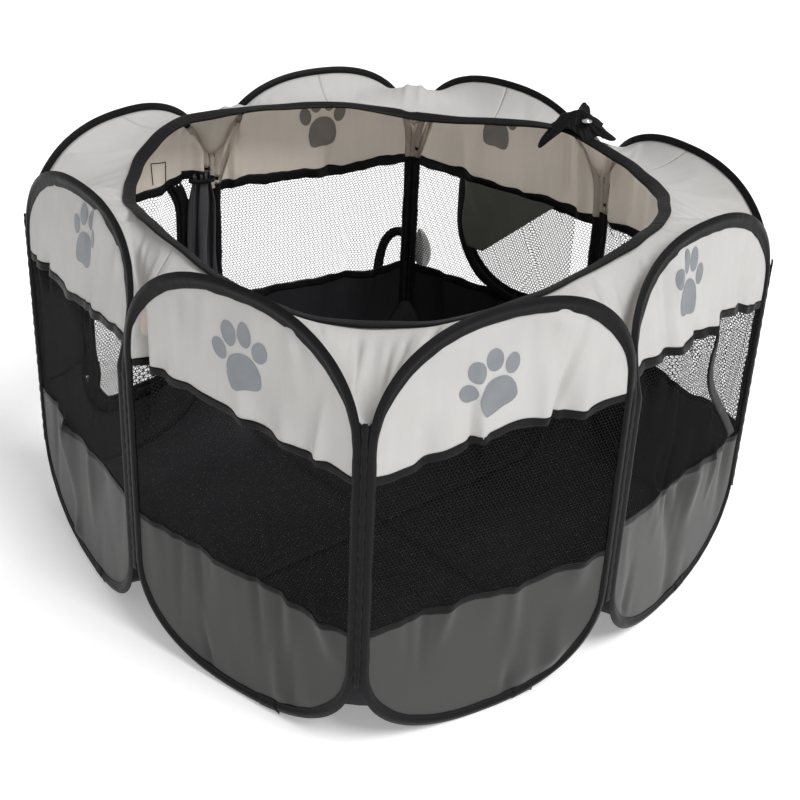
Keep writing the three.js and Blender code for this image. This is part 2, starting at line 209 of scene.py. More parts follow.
def resampled(points, count, closed=False):
    """Points spread evenly along a line, and its length."""
    points = np.asarray(points, float)
    if closed:
        points = np.vstack([points, points[:1]])
    along = run_lengths(points)
    wanted = np.linspace(0, along[-1], count + 1 if closed else count)
    made = np.stack([np.interp(wanted, along, points[:, i]) for i in range(points.shape[1])], 1)
    return (made[:-1] if closed else made), along[-1]


def hoop_path(inset, count):
    """The closed outline of a hoop as [x, z] points, and its length."""
    half = MIDDLE - SEAM_GAP - inset
    turn = np.linspace(0, np.pi, 160)
    c, s = np.cos(turn), np.sin(turn)
    x = half * np.sign(c) * np.abs(c) ** (2 / ARCH_POWER)
    rise = np.abs(s) ** (2 / ARCH_POWER)
    top = stacked(MIDDLE + x, HEIGHT - TOP_RISE + (TOP_RISE - inset) * rise)
    bottom = stacked(MIDDLE - x, BOTTOM_RISE - (BOTTOM_RISE - inset) * rise)
    return resampled(np.vstack([top, bottom]), count, closed=True)


# Upright creases of the cloth by zone: its two heights, their number and their usual depth.
CREASE_ZONES = [
    (UPPER_EDGE, HEIGHT, 24, 0.0105),
    (LOWER_EDGE, UPPER_EDGE, 8, 0.0022),
    (0.0, LOWER_EDGE, 20, 0.0088),
]
# Long and short waves of a seam: shortest and longest length, and share.
SEAM_WAVES = [(0.16, 0.30, 1.0), (0.10, 0.16, 0.6), (0.04, 0.08, 0.30), (0.02, 0.04, 0.14)]


class Wall:
    """One hoop of the pen: where it stands, how far its top leans in and how its cloth is creased."""

    def __init__(self, index):
        self.index = index
        self.name = WALL_NAMES[index]
        self.body = self.name + "_wall"
        self.start = CORNERS[index]
        self.along = (CORNERS[(index + 1) % 8] - self.start) / SIDE
        self.inward = np.array([-self.along[1], self.along[0]])
        self.middle = self.start + self.along * MIDDLE
        self.lean = self.read_lean()
        self.random = np.random.default_rng(40 + index)
        self.creases = self.draw_creases()
        self.hem_waves = self.draw_waves()

    def read_lean(self):
        """The CAD hoop's lean at the wall's two corners, at full height."""
        points = np.array([v.co for v in frame["nodes"][self.name + "_upper_band"].data.vertices])
        flat = points[:, :2] - self.start
        x = flat @ self.along
        y = flat @ self.inward
        rise = (points[:, 2] - UPPER_EDGE) / (HEIGHT - UPPER_EDGE)
        high = rise > 0.1
        known = np.stack([rise * (1 - x / SIDE), rise * x / SIDE], 1)[high]
        lean, *_ = np.linalg.lstsq(known, y[high], rcond=None)
        return np.where(np.abs(lean) < 0.002, 0.0, lean)

    def leaning(self, x, z):
        rise = np.clip(z - UPPER_EDGE, 0, None) / (HEIGHT - UPPER_EDGE)
        return (self.lean[0] + (self.lean[1] - self.lean[0]) * x / SIDE) * rise

    def draw_creases(self):
        """Each crease's place, width, depth, slant, zone and reach, and whether it hangs from the top."""
        return [
            (
                self.random.uniform(0.03, SIDE - 0.03),
                self.random.uniform(0.006, 0.020),
                self.random.normal(0, deep * 0.6),
                self.random.normal(0, 0.10),
                low,
                high,
                self.random.uniform(0.35, 1.0),
                self.random.random() < 0.55,
            )
            for low, high, count, deep in CREASE_ZONES
            for _ in range(count)
        ]

    def draw_waves(self):
        return [
            (self.random.uniform(low, high), self.random.uniform(0, 6.28), part)
            for low, high, part in SEAM_WAVES
        ]

    def wave(self, x, size):
        return size * sum(part * np.sin(2 * np.pi * x / length + at) for length, at, part in self.hem_waves)

    def upper_seam(self, x):
        shares, rises = zip(*UPPER_SEAM_RISE[self.index])
        return UPPER_EDGE + np.interp(x / SIDE, shares, rises) + self.wave(x, 0.0022)

    def lower_seam(self, x):
        shares, rises = zip(*LOWER_SEAM_RISE[self.index])
        return LOWER_EDGE + np.interp(x / SIDE, shares, rises) + self.wave(x + 0.05, 0.0020)

    def slack(self, x, z):
        """How far the cloth stands off the plane of the hoop."""
        inside = np.minimum(x - SLEEVE_INNER, SIDE - SLEEVE_INNER - x)
        inside = np.minimum(inside, arch_top(x, SLEEVE_INNER) - z)
        inside = np.minimum(inside, z - arch_bottom(x, SLEEVE_INNER))
        free = smoothstep(-0.006, 0.022, inside)
        y = np.zeros(np.broadcast(x, z).shape)
        for where, wide, deep, slant, low, high, reach, hangs in self.creases:
            middle = where + slant * (z - (low + high) / 2)
            across = hump(x, middle, wide)
            if hangs:
                fade = smoothstep(high - reach * (high - low), high, z)
            else:
                fade = 1 - smoothstep(low, low + reach * (high - low), z)
            y = y + deep * across * fade * between(low - 0.03, low + 0.01, high - 0.01, high + 0.03, z)
        for where, wide, deep, low, high in DEEP_FOLDS.get(self.index, ()):
            side = np.where(x < where, wide, wide * 0.45)
            y = y + deep * hump(x, where, side) * between(low - 0.02, low + 0.02, high - 0.03, high, z)
        belly = np.sin(np.pi * np.clip(x / SIDE, 0, 1)) * np.sin(np.pi * np.clip(z / HEIGHT, 0, 1))
        return free * (y - 0.0035 * belly * (1 - 0.5 * free))

    def place(self, x, z, y=0.0, cloth=True):
        """World points of wall coordinates."""
        x, z = np.broadcast_arrays(np.asarray(x, float), np.asarray(z, float))
        depth = self.leaning(x, z) + y + (self.slack(x, z) if cloth else 0)
        flat = self.start + x[..., None] * self.along + depth[..., None] * self.inward
        return np.concatenate([flat, z[..., None]], -1)


WALLS = [Wall(index) for index in range(8)]


def corner_walls(index):
    """The walls before and after a corner."""
    return WALLS[(index - 1) % 8], WALLS[index % 8]


# ---- mesh helpers ----

def new_piece(name, points, faces, uvs, materials, smooth=True):
    """A mesh object. uvs is one [u, v] in metres for each point."""
    mesh = bpy.data.meshes.new(name)
    mesh.from_pydata([tuple(p) for p in np.asarray(points).reshape(-1, 3)], [], [tuple(f) for f in faces])
    if uvs is not None:
        layer = mesh.uv_layers.new(name="UVMap")
        corners = np.zeros(len(mesh.loops), np.int32)
        mesh.loops.foreach_get("vertex_index", corners)
        layer.data.foreach_set("uv", np.asarray(uvs, np.float32).reshape(-1, 2)[corners].ravel())
    for material in materials:
        mesh.materials.append(material)
    if smooth:
        mesh.polygons.foreach_set("use_smooth", np.ones(len(mesh.polygons), bool))
    mesh.update()
    piece = bpy.data.objects.new(name, mesh)
    bpy.context.scene.collection.objects.link(piece)
    return piece


def grid_faces(rows, columns, keep=None, wrap=False):
    """Quads of a grid of points. keep says which cells stay, and wrap joins the last column to the first."""
    faces = []
    last = columns if wrap else columns - 1
    for r in range(rows - 1):
        for c in range(last):
            if keep is None or keep[r, c]:
                d = (c + 1) % columns
                faces.append((r * columns + c, r * columns + d, (r + 1) * columns + d, (r + 1) * columns + c))
    return faces


def apply_modifiers(piece):
    depsgraph = bpy.context.evaluated_depsgraph_get()
    mesh = bpy.data.meshes.new_from_object(piece.evaluated_get(depsgraph))
    piece.modifiers.clear()
    piece.data = mesh
    return piece


def thicken(piece, thickness, back=0):
    """Gives a sheet its thickness. back is the step to the material of the far face."""
    solid = piece.modifiers.new("thickness", "SOLIDIFY")
    solid.thickness = thickness
    solid.offset = 0.0
    solid.material_offset = back
    solid.use_quality_normals = True
    return apply_modifiers(piece)


def flat_area(grid, faces):
    """Area of the cells of a flat or curved grid."""
    points = np.asarray(grid).reshape(-1, np.asarray(grid).shape[-1])
    points = np.pad(points, ((0, 0), (0, 3 - points.shape[1])))
    crosses = (np.cross(points[c] - points[a], points[d] - points[b]) for a, b, c, d in faces)
    return sum(np.linalg.norm(cross) for cross in crosses) / 2


def joined_normals(piece):
    """Turns every face outwards on a closed piece."""
    mesh = bmesh.new()
    mesh.from_mesh(piece.data)
    bmesh.ops.recalc_face_normals(mesh, faces=mesh.faces)
    mesh.to_mesh(piece.data)
    mesh.free()
    return piece


def remove_loose(piece):
    """Drops the points of a mesh that no face uses."""
    mesh = bmesh.new()
    mesh.from_mesh(piece.data)
    bmesh.ops.delete(mesh, geom=[v for v in mesh.verts if not v.link_faces], context="VERTS")
    mesh.to_mesh(piece.data)
    mesh.free()


def ring_faces(rings, size, closed):
    """Faces of a tube of rings, with its ends filled where it isn't closed round."""
    faces = []
    for i in range(rings if closed else rings - 1):
        j = (i + 1) % rings
        for s in range(size):
            t = (s + 1) % size
            faces.append((i * size + s, i * size + t, j * size + t, j * size + s))
    if not closed:
        faces.append(tuple(range(size)))
        faces.append(tuple((rings - 1) * size + s for s in reversed(range(size))))
    return faces


def swept(name, path, sideways, section, material):
    """A closed section of [sideways, upright] offsets carried along a path of world points.

    sideways holds a unit vector for each point of the path. The third direction is square to both.
    section is one list, or one list for each point of the path.
    """
    path = np.asarray(path, float)
    sideways = np.asarray(sideways, float)
    before = np.vstack([path[:1], path[:-1]])
    after = np.vstack([path[1:], path[-1:]])
    upright = unit(np.cross(unit(after - before), sideways))
    section = np.asarray(section, float)
    section = np.broadcast_to(section, (len(path),) + section.shape[-2:])
    points = path[:, None] + section[..., :1] * sideways[:, None] + section[..., 1:] * upright[:, None]
    uvs = pair_grid(run_lengths(path), run_lengths(section[0]))
    faces = ring_faces(len(path), section.shape[1], closed=False)
    return joined_normals(new_piece(name, points, faces, uvs, [material]))


def note_cut(piece, pattern, faces, width, length):
    """Keeps the size that a cloth was cut to, as properties of the piece."""
    piece["flat_area"] = flat_area(pattern, faces)
    piece["flat_size"] = [float(width), float(length)]


def set_down(piece, body, slot, *nodes, held=None, rests_on=()):
    """The calls that every piece needs: what it rides on, and the CAD nodes it stands for, which it hides.
    slot, held and rests_on are not used."""
    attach(piece, body)
    if nodes:
        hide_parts(*nodes)


# ---- materials ----

class Nodes:
    """Short ways to add and join shader nodes."""

    def __init__(self, name):
        self.material = bpy.data.materials.new(name)
        self.material.use_nodes = True
        self.tree = self.material.node_tree
        self.tree.nodes.clear()
        self.output = self.tree.nodes.new("ShaderNodeOutputMaterial")

    def add(self, kind, **values):
        node = self.tree.nodes.new(kind)
        for key, value in values.items():
            setattr(node, key, value)
        return node

    def feed(self, socket, value):
        if isinstance(value, bpy.types.NodeSocket):
            self.tree.links.new(value, socket)
        else:
            socket.default_value = value

    def math(self, operation, a, b=0.0, c=None):
        node = self.add("ShaderNodeMath", operation=operation)
        self.feed(node.inputs[0], a)
        self.feed(node.inputs[1], b)
        if c is not None:
            self.feed(node.inputs[2], c)
        return node.outputs[0]

    def noise(self, vector, scale, detail=2.0, rough=0.5, squeeze=None):
        node = self.add("ShaderNodeTexNoise")
        node.inputs["Scale"].default_value = scale
        node.inputs["Detail"].default_value = detail
        node.inputs["Roughness"].default_value = rough
        if squeeze:
            mapping = self.add("ShaderNodeMapping")
            mapping.inputs["Scale"].default_value = squeeze
            self.feed(mapping.inputs["Vector"], vector)
            vector = mapping.outputs[0]
        self.feed(node.inputs["Vector"], vector)
        return node.outputs["Fac"]

    def ramp(self, value, low, high, first=0.0, last=1.0):
        """A value between two limits turned into a number between two others."""
        node = self.add("ShaderNodeMapRange")
        self.feed(node.inputs["Value"], value)
        for name, number in (("From Min", low), ("From Max", high), ("To Min", first), ("To Max", last)):
            node.inputs[name].default_value = number
        return node.outputs[0]

    def mix(self, share, *colors):
        """A colour between two others, each of them a socket or three numbers."""
        node = self.add("ShaderNodeMix", data_type="RGBA")
        self.feed(node.inputs["Factor"], share)
        for place, color in zip((6, 7), colors):
            self.feed(node.inputs[place], color if isinstance(color, bpy.types.NodeSocket) else (*color, 1))
        return node.outputs[2]

    def bump(self, height, strength, distance, under=None):
        node = self.add("ShaderNodeBump")
        node.inputs["Strength"].default_value = strength
        node.inputs["Distance"].default_value = distance
        self.feed(node.inputs["Height"], height)
        if under is not None:
            self.feed(node.inputs["Normal"], under)
        return node.outputs[0]

    def uv(self):
        """The piece's own flat coordinates in metres."""
        return self.add("ShaderNodeUVMap", uv_map="UVMap").outputs[0]

    def split(self, vector):
        node = self.add("ShaderNodeSeparateXYZ")
        self.feed(node.inputs[0], vector)
        return node.outputs

    def wave(self, value, pitch):
        return self.math("SINE", self.math("MULTIPLY", value, 2 * math.pi / pitch))

    def surface(self, color, roughness, normal=None, **uniform):
        shader = self.add("ShaderNodeBsdfPrincipled")
        self.feed(shader.inputs["Base Color"], color)
        self.feed(shader.inputs["Roughness"], roughness)
        if normal is not None:
            self.feed(shader.inputs["Normal"], normal)
        for name, value in uniform.items():
            shader.inputs[name.replace("_", " ")].default_value = value
        return shader

    def finish(self, shader):
        self.feed(self.output.inputs["Surface"], shader.outputs[0])
        return self.material


def scaled(color, factor):
    return tuple(factor * c for c in color)


WEAVE = 0.0011  # pitch of the threads of oxford cloth


def weave_height(n, pitch, upright_pitch):
    """Plain weave: threads over and under each other. Returns a height from 0 to 1."""
    u, v, _ = n.split(n.uv())
    u = n.math("ADD", u, n.math("MULTIPLY", v, 0.35))
    crossed = n.math("MULTIPLY", n.wave(u, pitch), n.wave(v, upright_pitch))
    return n.math("MULTIPLY_ADD", crossed, 0.5, 0.5)


def coated_oxford(name, color, shade, weave=WEAVE, sheen=0.08, rough=0.62, glow=0.0):
    """Coated polyester oxford: a fine weave, soft mottling and long faint streaks.

    glow is the share of light that a pale cloth lets through.
    """
    n = Nodes(name)
    uv = n.uv()
    thread = weave_height(n, weave, weave * 1.15)
    mottle = n.noise(uv, 9.0, 3.0)
    streak = n.noise(uv, 30.0, 2.0, squeeze=(3.0, 0.4, 1.0))
    fine = n.noise(uv, 900.0, 1.0)
    tone = n.mix(n.ramp(mottle, 0.3, 0.7), shade, color)
    tone = n.mix(n.ramp(streak, 0.45, 0.75, 0.0, 0.45), tone, scaled(color, 0.90))
    between_threads = n.math("MULTIPLY", n.math("SUBTRACT", 1.0, thread), 0.26)
    tone = n.mix(between_threads, tone, scaled(color, 0.62))
    normal = n.bump(thread, 0.35, 0.00022)
    normal = n.bump(fine, 0.18, 0.0002, normal)
    roughness = n.ramp(mottle, 0.2, 0.8, rough - 0.06, rough + 0.08)
    gloss = 0.3 if max(color) > 0.03 else 0.08
    shader = n.surface(tone, roughness, normal, Sheen_Weight=sheen, Specular_IOR_Level=gloss)
    if glow:
        through = n.add("ShaderNodeBsdfTranslucent")
        n.feed(through.inputs["Color"], tone)
        both = n.add("ShaderNodeMixShader")
        both.inputs[0].default_value = glow
        n.feed(both.inputs[1], shader.outputs[0])
        n.feed(both.inputs[2], through.outputs[0])
        shader = both
    return n.finish(shader)


def binding_tape(name, color, rough=0.42, rib=0.0016):
    """Woven polyester tape with a ribbed face and a slight shine."""
    n = Nodes(name)
    uv = n.uv()
    ribs, cross = (n.math("MULTIPLY_ADD", n.wave(axis, rib), 0.5, 0.5) for axis in list(n.split(uv))[:2])
    thread = n.math("MULTIPLY", ribs, cross)
    mottle = n.noise(uv, 24.0, 3.0)
    pucker = n.noise(uv, 60.0, 2.0, squeeze=(2.0, 0.6, 1.0))
    lighter = tuple(1.7 * c + 0.001 for c in color)
    tone = n.mix(n.ramp(mottle, 0.35, 0.75, 0.0, 0.5), color, lighter)
    tone = n.mix(n.math("MULTIPLY", thread, 0.35), tone, lighter)
    normal = n.bump(thread, 0.4, 0.0002)
    normal = n.bump(pucker, 0.5, 0.0012, normal)
    roughness = n.ramp(mottle, 0.2, 0.8, rough - 0.07, rough + 0.1)
    return n.finish(n.surface(tone, roughness, normal, Sheen_Weight=0.0, Specular_IOR_Level=0.11))


def knitted_mesh(name, pitch, hole, color):
    """Open knitted mesh: round holes in staggered rows, hole being their radius as a share of the pitch."""
    row_step = 3**0.5
    n = Nodes(name)
    u, v, _ = n.split(n.uv())
    distances = []
    for shift in (0.0, 0.5):
        column = n.math("ADD", n.math("DIVIDE", u, pitch), shift)
        row = n.math("ADD", n.math("DIVIDE", v, pitch * row_step), shift)
        du = n.math("SUBTRACT", n.math("FRACT", column), 0.5)
        dv = n.math("MULTIPLY", n.math("SUBTRACT", n.math("FRACT", row), 0.5), row_step)
        squares = n.math("MULTIPLY", du, du), n.math("MULTIPLY", dv, dv)
        distances.append(n.math("SQRT", n.math("ADD", *squares)))
    nearest = n.math("MINIMUM", *distances)
    cover = n.ramp(nearest, hole, hole + 0.03)
    wear = n.noise(n.uv(), 140.0, 2.0)
    tone = n.mix(n.ramp(wear, 0.3, 0.7), color, scaled(color, 2.2))
    roughness = n.ramp(wear, 0.2, 0.8, 0.5, 0.7)
    normal = n.bump(nearest, 0.6, 0.0008)
    shader = n.surface(tone, roughness, normal, Sheen_Weight=0.0, Specular_IOR_Level=0.06)
    n.feed(shader.inputs["Alpha"], cover)
    return n.finish(shader)


def ink(name, color, rough):
    """A print on cloth: the weave shows through it."""
    n = Nodes(name)
    thread = weave_height(n, WEAVE, 0.0013)
    mottle = n.noise(n.uv(), 40.0, 3.0)
    tone = n.mix(n.ramp(mottle, 0.3, 0.7), color, scaled(color, 1.18))
    roughness = n.ramp(mottle, 0.2, 0.8, rough, rough + 0.12)
    return n.finish(n.surface(tone, roughness, n.bump(thread, 0.3, 0.0002), Metallic=0.25))


def metal(name, color, rough):
    n = Nodes(name)
    coordinates = n.add("ShaderNodeTexCoord").outputs["Object"]
    scratch = n.noise(coordinates, 900.0, 3.0, squeeze=(1.0, 0.1, 1.0))
    tone = n.mix(n.ramp(scratch, 0.3, 0.7), color, scaled(color, 0.85))
    roughness = n.ramp(scratch, 0.3, 0.7, rough, rough + 0.15)
    return n.finish(n.surface(tone, roughness, n.bump(scratch, 0.1, 0.0001), Metallic=1.0))


def plain_floor(name, color):
    n = Nodes(name)
    drift = n.noise(n.add("ShaderNodeTexCoord").outputs["Object"], 1.5, 2.0)
    tone = n.mix(drift, color, scaled(color, 0.985))
    return n.finish(n.surface(tone, 0.85, Specular_IOR_Level=0.15, Emission_Strength=0.28))


LIGHT_GREY = coated_oxford("light_grey_oxford", (0.81, 0.81, 0.805), (0.75, 0.75, 0.745), glow=0.40)
# The inner face of the pale cloth is the same cloth painted beige: a painted warm cast that stands in for the
# shade inside the pen.
INNER_CAST_PAINT = coated_oxford("beige_lining", (0.97, 0.89, 0.80), (0.91, 0.835, 0.75), rough=0.7, glow=0.58)
DARK_GREY = coated_oxford("dark_grey_oxford", (0.040, 0.041, 0.0385), (0.034, 0.035, 0.033), sheen=0.18)
BLACK_CLOTH = coated_oxford(
    "black_oxford", (0.021, 0.021, 0.0235), (0.0175, 0.0175, 0.0195), sheen=0.0, rough=0.6
)
CURTAIN_GREY = coated_oxford(
    "curtain_oxford", (0.056, 0.056, 0.061), (0.046, 0.046, 0.051), sheen=0.03, rough=0.45
)
OLIVE_GREY = coated_oxford("olive_oxford", (0.100, 0.103, 0.088), (0.085, 0.088, 0.075), sheen=0.02)
BINDING = binding_tape("binding", (0.0060, 0.0060, 0.0068))
WEBBING = binding_tape("webbing", (0.006, 0.006, 0.007), rough=0.6, rib=0.0022)
THREAD = binding_tape("stitching_thread", (0.05, 0.05, 0.05), rough=0.6, rib=0.0008)
MESH = knitted_mesh("knitted_mesh", 0.0050, 0.415, (0.005, 0.005, 0.005))
PAW_INK = ink("paw_ink", (0.200, 0.215, 0.230), 0.42)
# Painted shade: the shadow of the outside paw print seen from inside the pen, drawn as a dark print on the
# inner face.
SHOW_THROUGH = ink("paw_show_through", (0.27, 0.25, 0.235), 0.6)
STEEL = metal("spring_steel", (0.55, 0.56, 0.57), 0.3)
NICKEL = metal("nickel_plate", (0.82, 0.81, 0.79), 0.22)
LABEL = coated_oxford(
    "label_satin", (0.80, 0.80, 0.79), (0.76, 0.76, 0.75), weave=0.0008, sheen=0.2, rough=0.4
)


# ---- hoops ----

SLEEVE_STEPS = 260
SLEEVE_SECTION = [
    # [outwards from the wire, across the wall], round one side of the folded tape
    (0.0080, 0.0003),
    (0.0073, 0.0009),
    (0.0056, 0.0017),
    (0.0032, 0.0031),
    (0.0006, 0.0038),
    (-0.0022, 0.0032),
    (-0.0050, 0.0020),
    (-0.0090, 0.0017),
    (-0.0128, 0.0017),
    (-0.0140, 0.0010),
]
LIP_START = -0.0022


def sleeve_lip(upward):
    """How much of the tape's lip lies flat: all of it along the top, less at the bottom and the sides."""
    return 0.17 + 0.66 * smoothstep(0.10, 0.75, upward) + 0.36 * smoothstep(0.10, 0.75, -upward)


def sleeve_rings(wall, grow=1.0):
    """Rings of points round the wire, with their flat coordinates."""
    path, length = hoop_path(WIRE_INSET, SLEEVE_STEPS)
    forward = unit(np.roll(path, -1, 0) - np.roll(path, 1, 0))
    outward = stacked(forward[:, 1], -forward[:, 0])
    around = np.arange(SLEEVE_STEPS) / SLEEVE_STEPS * 2 * np.pi
    random = np.random.default_rng(10 + wall.index)
    waves = [(k, random.uniform(0, 6.28)) for k in (7, 13, 19, 31, 47, 61)]
    pucker = sum(np.sin(k * around + phase) / (1 + 0.03 * k) for k, phase in waves)[:, None] / 3
    swell = sum(np.sin(k * around + 2 * phase) for k, phase in waves[2:])[:, None] / 4
    half = np.array(SLEEVE_SECTION)
    section = np.vstack([half, half[::-1] * (1, -1)])
    outs, acrosses = section.T[:, None]
    lip = sleeve_lip(outward[:, 1])[:, None]
    out = np.where(outs < LIP_START, LIP_START + (outs - LIP_START) * lip, outs) * grow
    out = out + np.where(outs < -0.008, 0.0009, 0.0001) * pucker
    across = acrosses * (1 + 0.10 * swell) * grow
    across = across + 0.0006 * np.where(outs < -0.006, 1, 0.2) * swell
    x, z = (path[:, None] + out[..., None] * outward[:, None]).transpose(2, 0, 1)
    points = wall.place(x, z, across, cloth=False)
    points[..., 2] = np.maximum(points[..., 2], GROUND_CLEARANCE)
    return path, points, pair_grid(np.arange(SLEEVE_STEPS) * length / SLEEVE_STEPS, run_lengths(section))


def hoop_sleeve(wall):
    """Folded binding tape sewn round the wire, a little puckered along its length."""
    _, points, uvs = sleeve_rings(wall)
    faces = ring_faces(*points.shape[:2], closed=True)
    piece = joined_normals(new_piece(wall.name + "_binding", points, faces, uvs, [BINDING]))
    set_down(piece, wall.body, "binding", wall.name + "_sleeve")


def sleeve_overlap(wall):
    """The short lap where the two ends of the binding meet, at the bottom of the hoop."""
    path, points, uvs = sleeve_rings(wall, grow=1.13)
    middle = SIDE * (0.60 + 0.03 * (wall.index % 3))
    chosen = np.flatnonzero((path[:, 1] < 0.03) & (np.abs(path[:, 0] - middle) < 0.016))
    points, uvs = points[chosen].copy(), uvs[chosen]
    points[-1, :3, 2] = np.maximum(points[-1, :3, 2] - 0.004, GROUND_CLEARANCE)
    faces = ring_faces(*points.shape[:2], closed=False)
    piece = joined_normals(new_piece(wall.name + "_binding_lap", points, faces, uvs, [BINDING]))
    set_down(piece, wall.body, "binding")


# ---- wall fabric ----

BAND_COLUMNS = 124
BAND_ROWS = 46


def band_columns(count=BAND_COLUMNS):
    """x of the columns of a fabric piece, closer together near the sleeves."""
    half = MIDDLE - SEAM_GAP - SIDE_INSET
    t = np.linspace(-1, 1, count)
    return MIDDLE + half * np.sign(t) * (1 - (1 - np.abs(t)) ** 1.35)


def column_grid(low, high, rows):
    """Heights of a grid whose columns run from low to high."""
    share = np.linspace(0, 1, rows)[:, None]
    return low[None] + (high - low)[None] * share


def fabric(wall, name, x, z, materials, thickness, keep=None, y=0.0, back=1):
    """A sheet of cloth on a wall, from its grid of wall coordinates."""
    x = np.broadcast_to(x, z.shape)
    faces = grid_faces(*z.shape, keep=keep)
    flat = stacked(x, z)
    piece = new_piece(name, wall.place(x, z, y), faces, flat, materials)
    note_cut(piece, flat, faces, np.ptp(x), np.ptp(z))
    if thickness:
        thicken(piece, thickness, back=back)
    return piece


def hold_in_hoop(piece, wall, slot, node):
    set_down(piece, wall.body, slot, wall.name + node, held="stretched", rests_on=[wall.name + "_binding"])


def upper_band(wall):
    x = band_columns()
    z = column_grid(wall.upper_seam(x), arch_top(x, FABRIC_INSET), BAND_ROWS)
    # The far face carries the painted beige cast of the shaded inside.
    piece = fabric(wall, wall.name + "_upper_cloth", x, z, [LIGHT_GREY, INNER_CAST_PAINT], CLOTH)
    hold_in_hoop(piece, wall, "light_oxford", "_upper_band")


def lower_band(wall):
    x = band_columns()
    z = column_grid(arch_bottom(x, FABRIC_INSET), wall.lower_seam(x), BAND_ROWS)
    keep = outside_door(x, z, SIDE_DOOR) if wall.index == SIDE_DOOR["wall"] else None
    piece = fabric(wall, wall.name + "_lower_cloth", x, z, [DARK_GREY, BLACK_CLOTH], CLOTH, keep=keep)
    hold_in_hoop(piece, wall, "dark_oxford", "_lower_band")


def mesh_window(wall):
    x = band_columns()
    z = column_grid(wall.lower_seam(x), wall.upper_seam(x), BAND_ROWS + 8)
    keep = None
    for door in (SIDE_DOOR, REAR_DOOR):
        if wall.index == door["wall"]:
            keep = outside_door(x, z, door)
    piece = fabric(wall, wall.name + "_window_mesh", x, z, [MESH], 0, keep=keep)
    hold_in_hoop(piece, wall, "mesh", "_mesh_window")


def hem_tapes(wall):
    """The black tapes along the two seams of the mesh."""
    x = band_columns(90)
    for seam, low, high, name in (
        (wall.upper_seam(x), -HEM[wall.index], 0.0020, "_upper_hem"),
        (wall.lower_seam(x), -0.0020, HEM[wall.index] * 0.75, "_lower_hem"),
    ):
        uneven = wall.wave(x * 2.3 + 0.02, 0.0009)
        z = column_grid(seam + low + uneven, seam + high, 5)
        cut = name == "_lower_hem" and wall.index == SIDE_DOOR["wall"]
        keep = outside_door(x, z, SIDE_DOOR) if cut else None
        piece = fabric(wall, wall.name + name, x, z, [BINDING], 0.0022, back=0, keep=keep)
        set_down(piece, wall.body, "binding")


# ---- doors ----

# The doorways run up under the upper hem. Radii: lower near, lower far, upper far and upper near corner.
SIDE_DOOR = dict(wall=7, x0=0.068, x1=0.275, z0=0.115, z1=0.475, radii=(0.036, 0.050, 0.05, 0.09))
REAR_DOOR = dict(wall=5, x0=0.046, x1=0.262, z0=0.216, z1=0.440, radii=(0.012, 0.120, 0.01, 0.01))


def door_outline(door, grow, count=180):
    """Outline of a doorway as [x, z] points, anticlockwise from above the lower near corner."""
    radii = [max(radius + grow, 0.001) for radius in door["radii"]]
    x0, x1 = door["x0"] - (0.0 if door is REAR_DOOR else grow), door["x1"] + grow
    z0, z1 = door["z0"] - grow, door["z1"] + grow
    points = []
    corners = ((x0, z0, 1, 1), (x1, z0, -1, 1), (x1, z1, -1, -1), (x0, z1, 1, -1))
    for quarter, (radius, (x, z, right, up)) in enumerate(zip(radii, corners)):
        start = math.pi + quarter * math.pi / 2
        for turn in np.linspace(start, start + math.pi / 2, 14):
            points.append((x + radius * (right + math.cos(turn)), z + radius * (up + math.sin(turn))))
    return resampled(points, count, closed=True)[0]


def whole_cells(inside):
    """Which cells of a grid have all four corners inside."""
    return inside[:-1, :-1] & inside[1:, :-1] & inside[:-1, 1:] & inside[1:, 1:]


def inside_outline(x, z, outline):
    inside = np.zeros(x.shape, bool)
    for (ax, az), (bx, bz) in zip(outline, np.roll(outline, -1, 0)):
        crosses = (az > z) != (bz > z)
        at = ax + (z - az) * (bx - ax) / np.where(bz == az, 1e-12, bz - az)
        inside ^= crosses & (x < at)
    return inside


DOORWAY_MARGIN = 0.005  # from the edge of the leaf to the edge of the cut in the wall


def outside_door(x, z, door):
    """Which cells of a grid stay when the doorway is cut out."""
    x = np.broadcast_to(x, z.shape)
    covered = inside_outline(x, z, door_outline(door, DOORWAY_MARGIN)) & (x > door["x0"] + 0.002)
    return ~whole_cells(covered)


def outline_band(wall, name, door, inner, outer, thickness, y=0.0):
    """A closed tape that follows a doorway between two offsets of its outline."""
    flat = np.stack([door_outline(door, grow, 300) for grow in np.linspace(inner, outer, 4)])
    x, z = flat[..., 0], flat[..., 1]
    seen = z < wall.upper_seam(x) - 0.006
    if door is REAR_DOOR:
        seen &= x > door["x0"] + 0.006
    keep = seen & np.roll(seen, -1, 1)
    faces = grid_faces(*x.shape, keep=keep[:-1] & keep[1:], wrap=True)
    piece = new_piece(name, wall.place(x, z, y), faces, flat, [BINDING])
    remove_loose(piece)
    return thicken(piece, thickness)


# A zip tooth's half length, half width and depth, at its foot and at its head.
TOOTH_LEVELS = [(0.0007, 0.0022, -0.0014), (0.0004, 0.0016, -0.0026)]


def zip_teeth(wall, name, door):
    """The row of coil zip teeth that joins the leaf to the doorway, on all but the hinge side."""
    path = door_outline(door, 0.0006, 420)
    on_hinge = path[:, 0] < door["x0"] + 0.004
    on_hinge |= path[:, 1] > wall.upper_seam(path[:, 0]) - 0.008
    points, faces = [], []
    for i in np.flatnonzero(~on_hinge):
        tangent = unit(path[(i + 1) % len(path)] - path[i - 1])
        normal = np.array([tangent[1], -tangent[0]])
        faces += [tuple(len(points) + corner for corner in face) for face in ring_faces(2, 4, closed=False)]
        for half_length, half_width, depth in TOOTH_LEVELS:
            for ahead, out in ((-1, -1), (1, -1), (1, 1), (-1, 1)):
                flat = path[i] + ahead * half_length * tangent + out * half_width * normal
                points.append(wall.place(*flat, depth))
    return joined_normals(new_piece(name, points, faces, None, [BINDING], smooth=False))


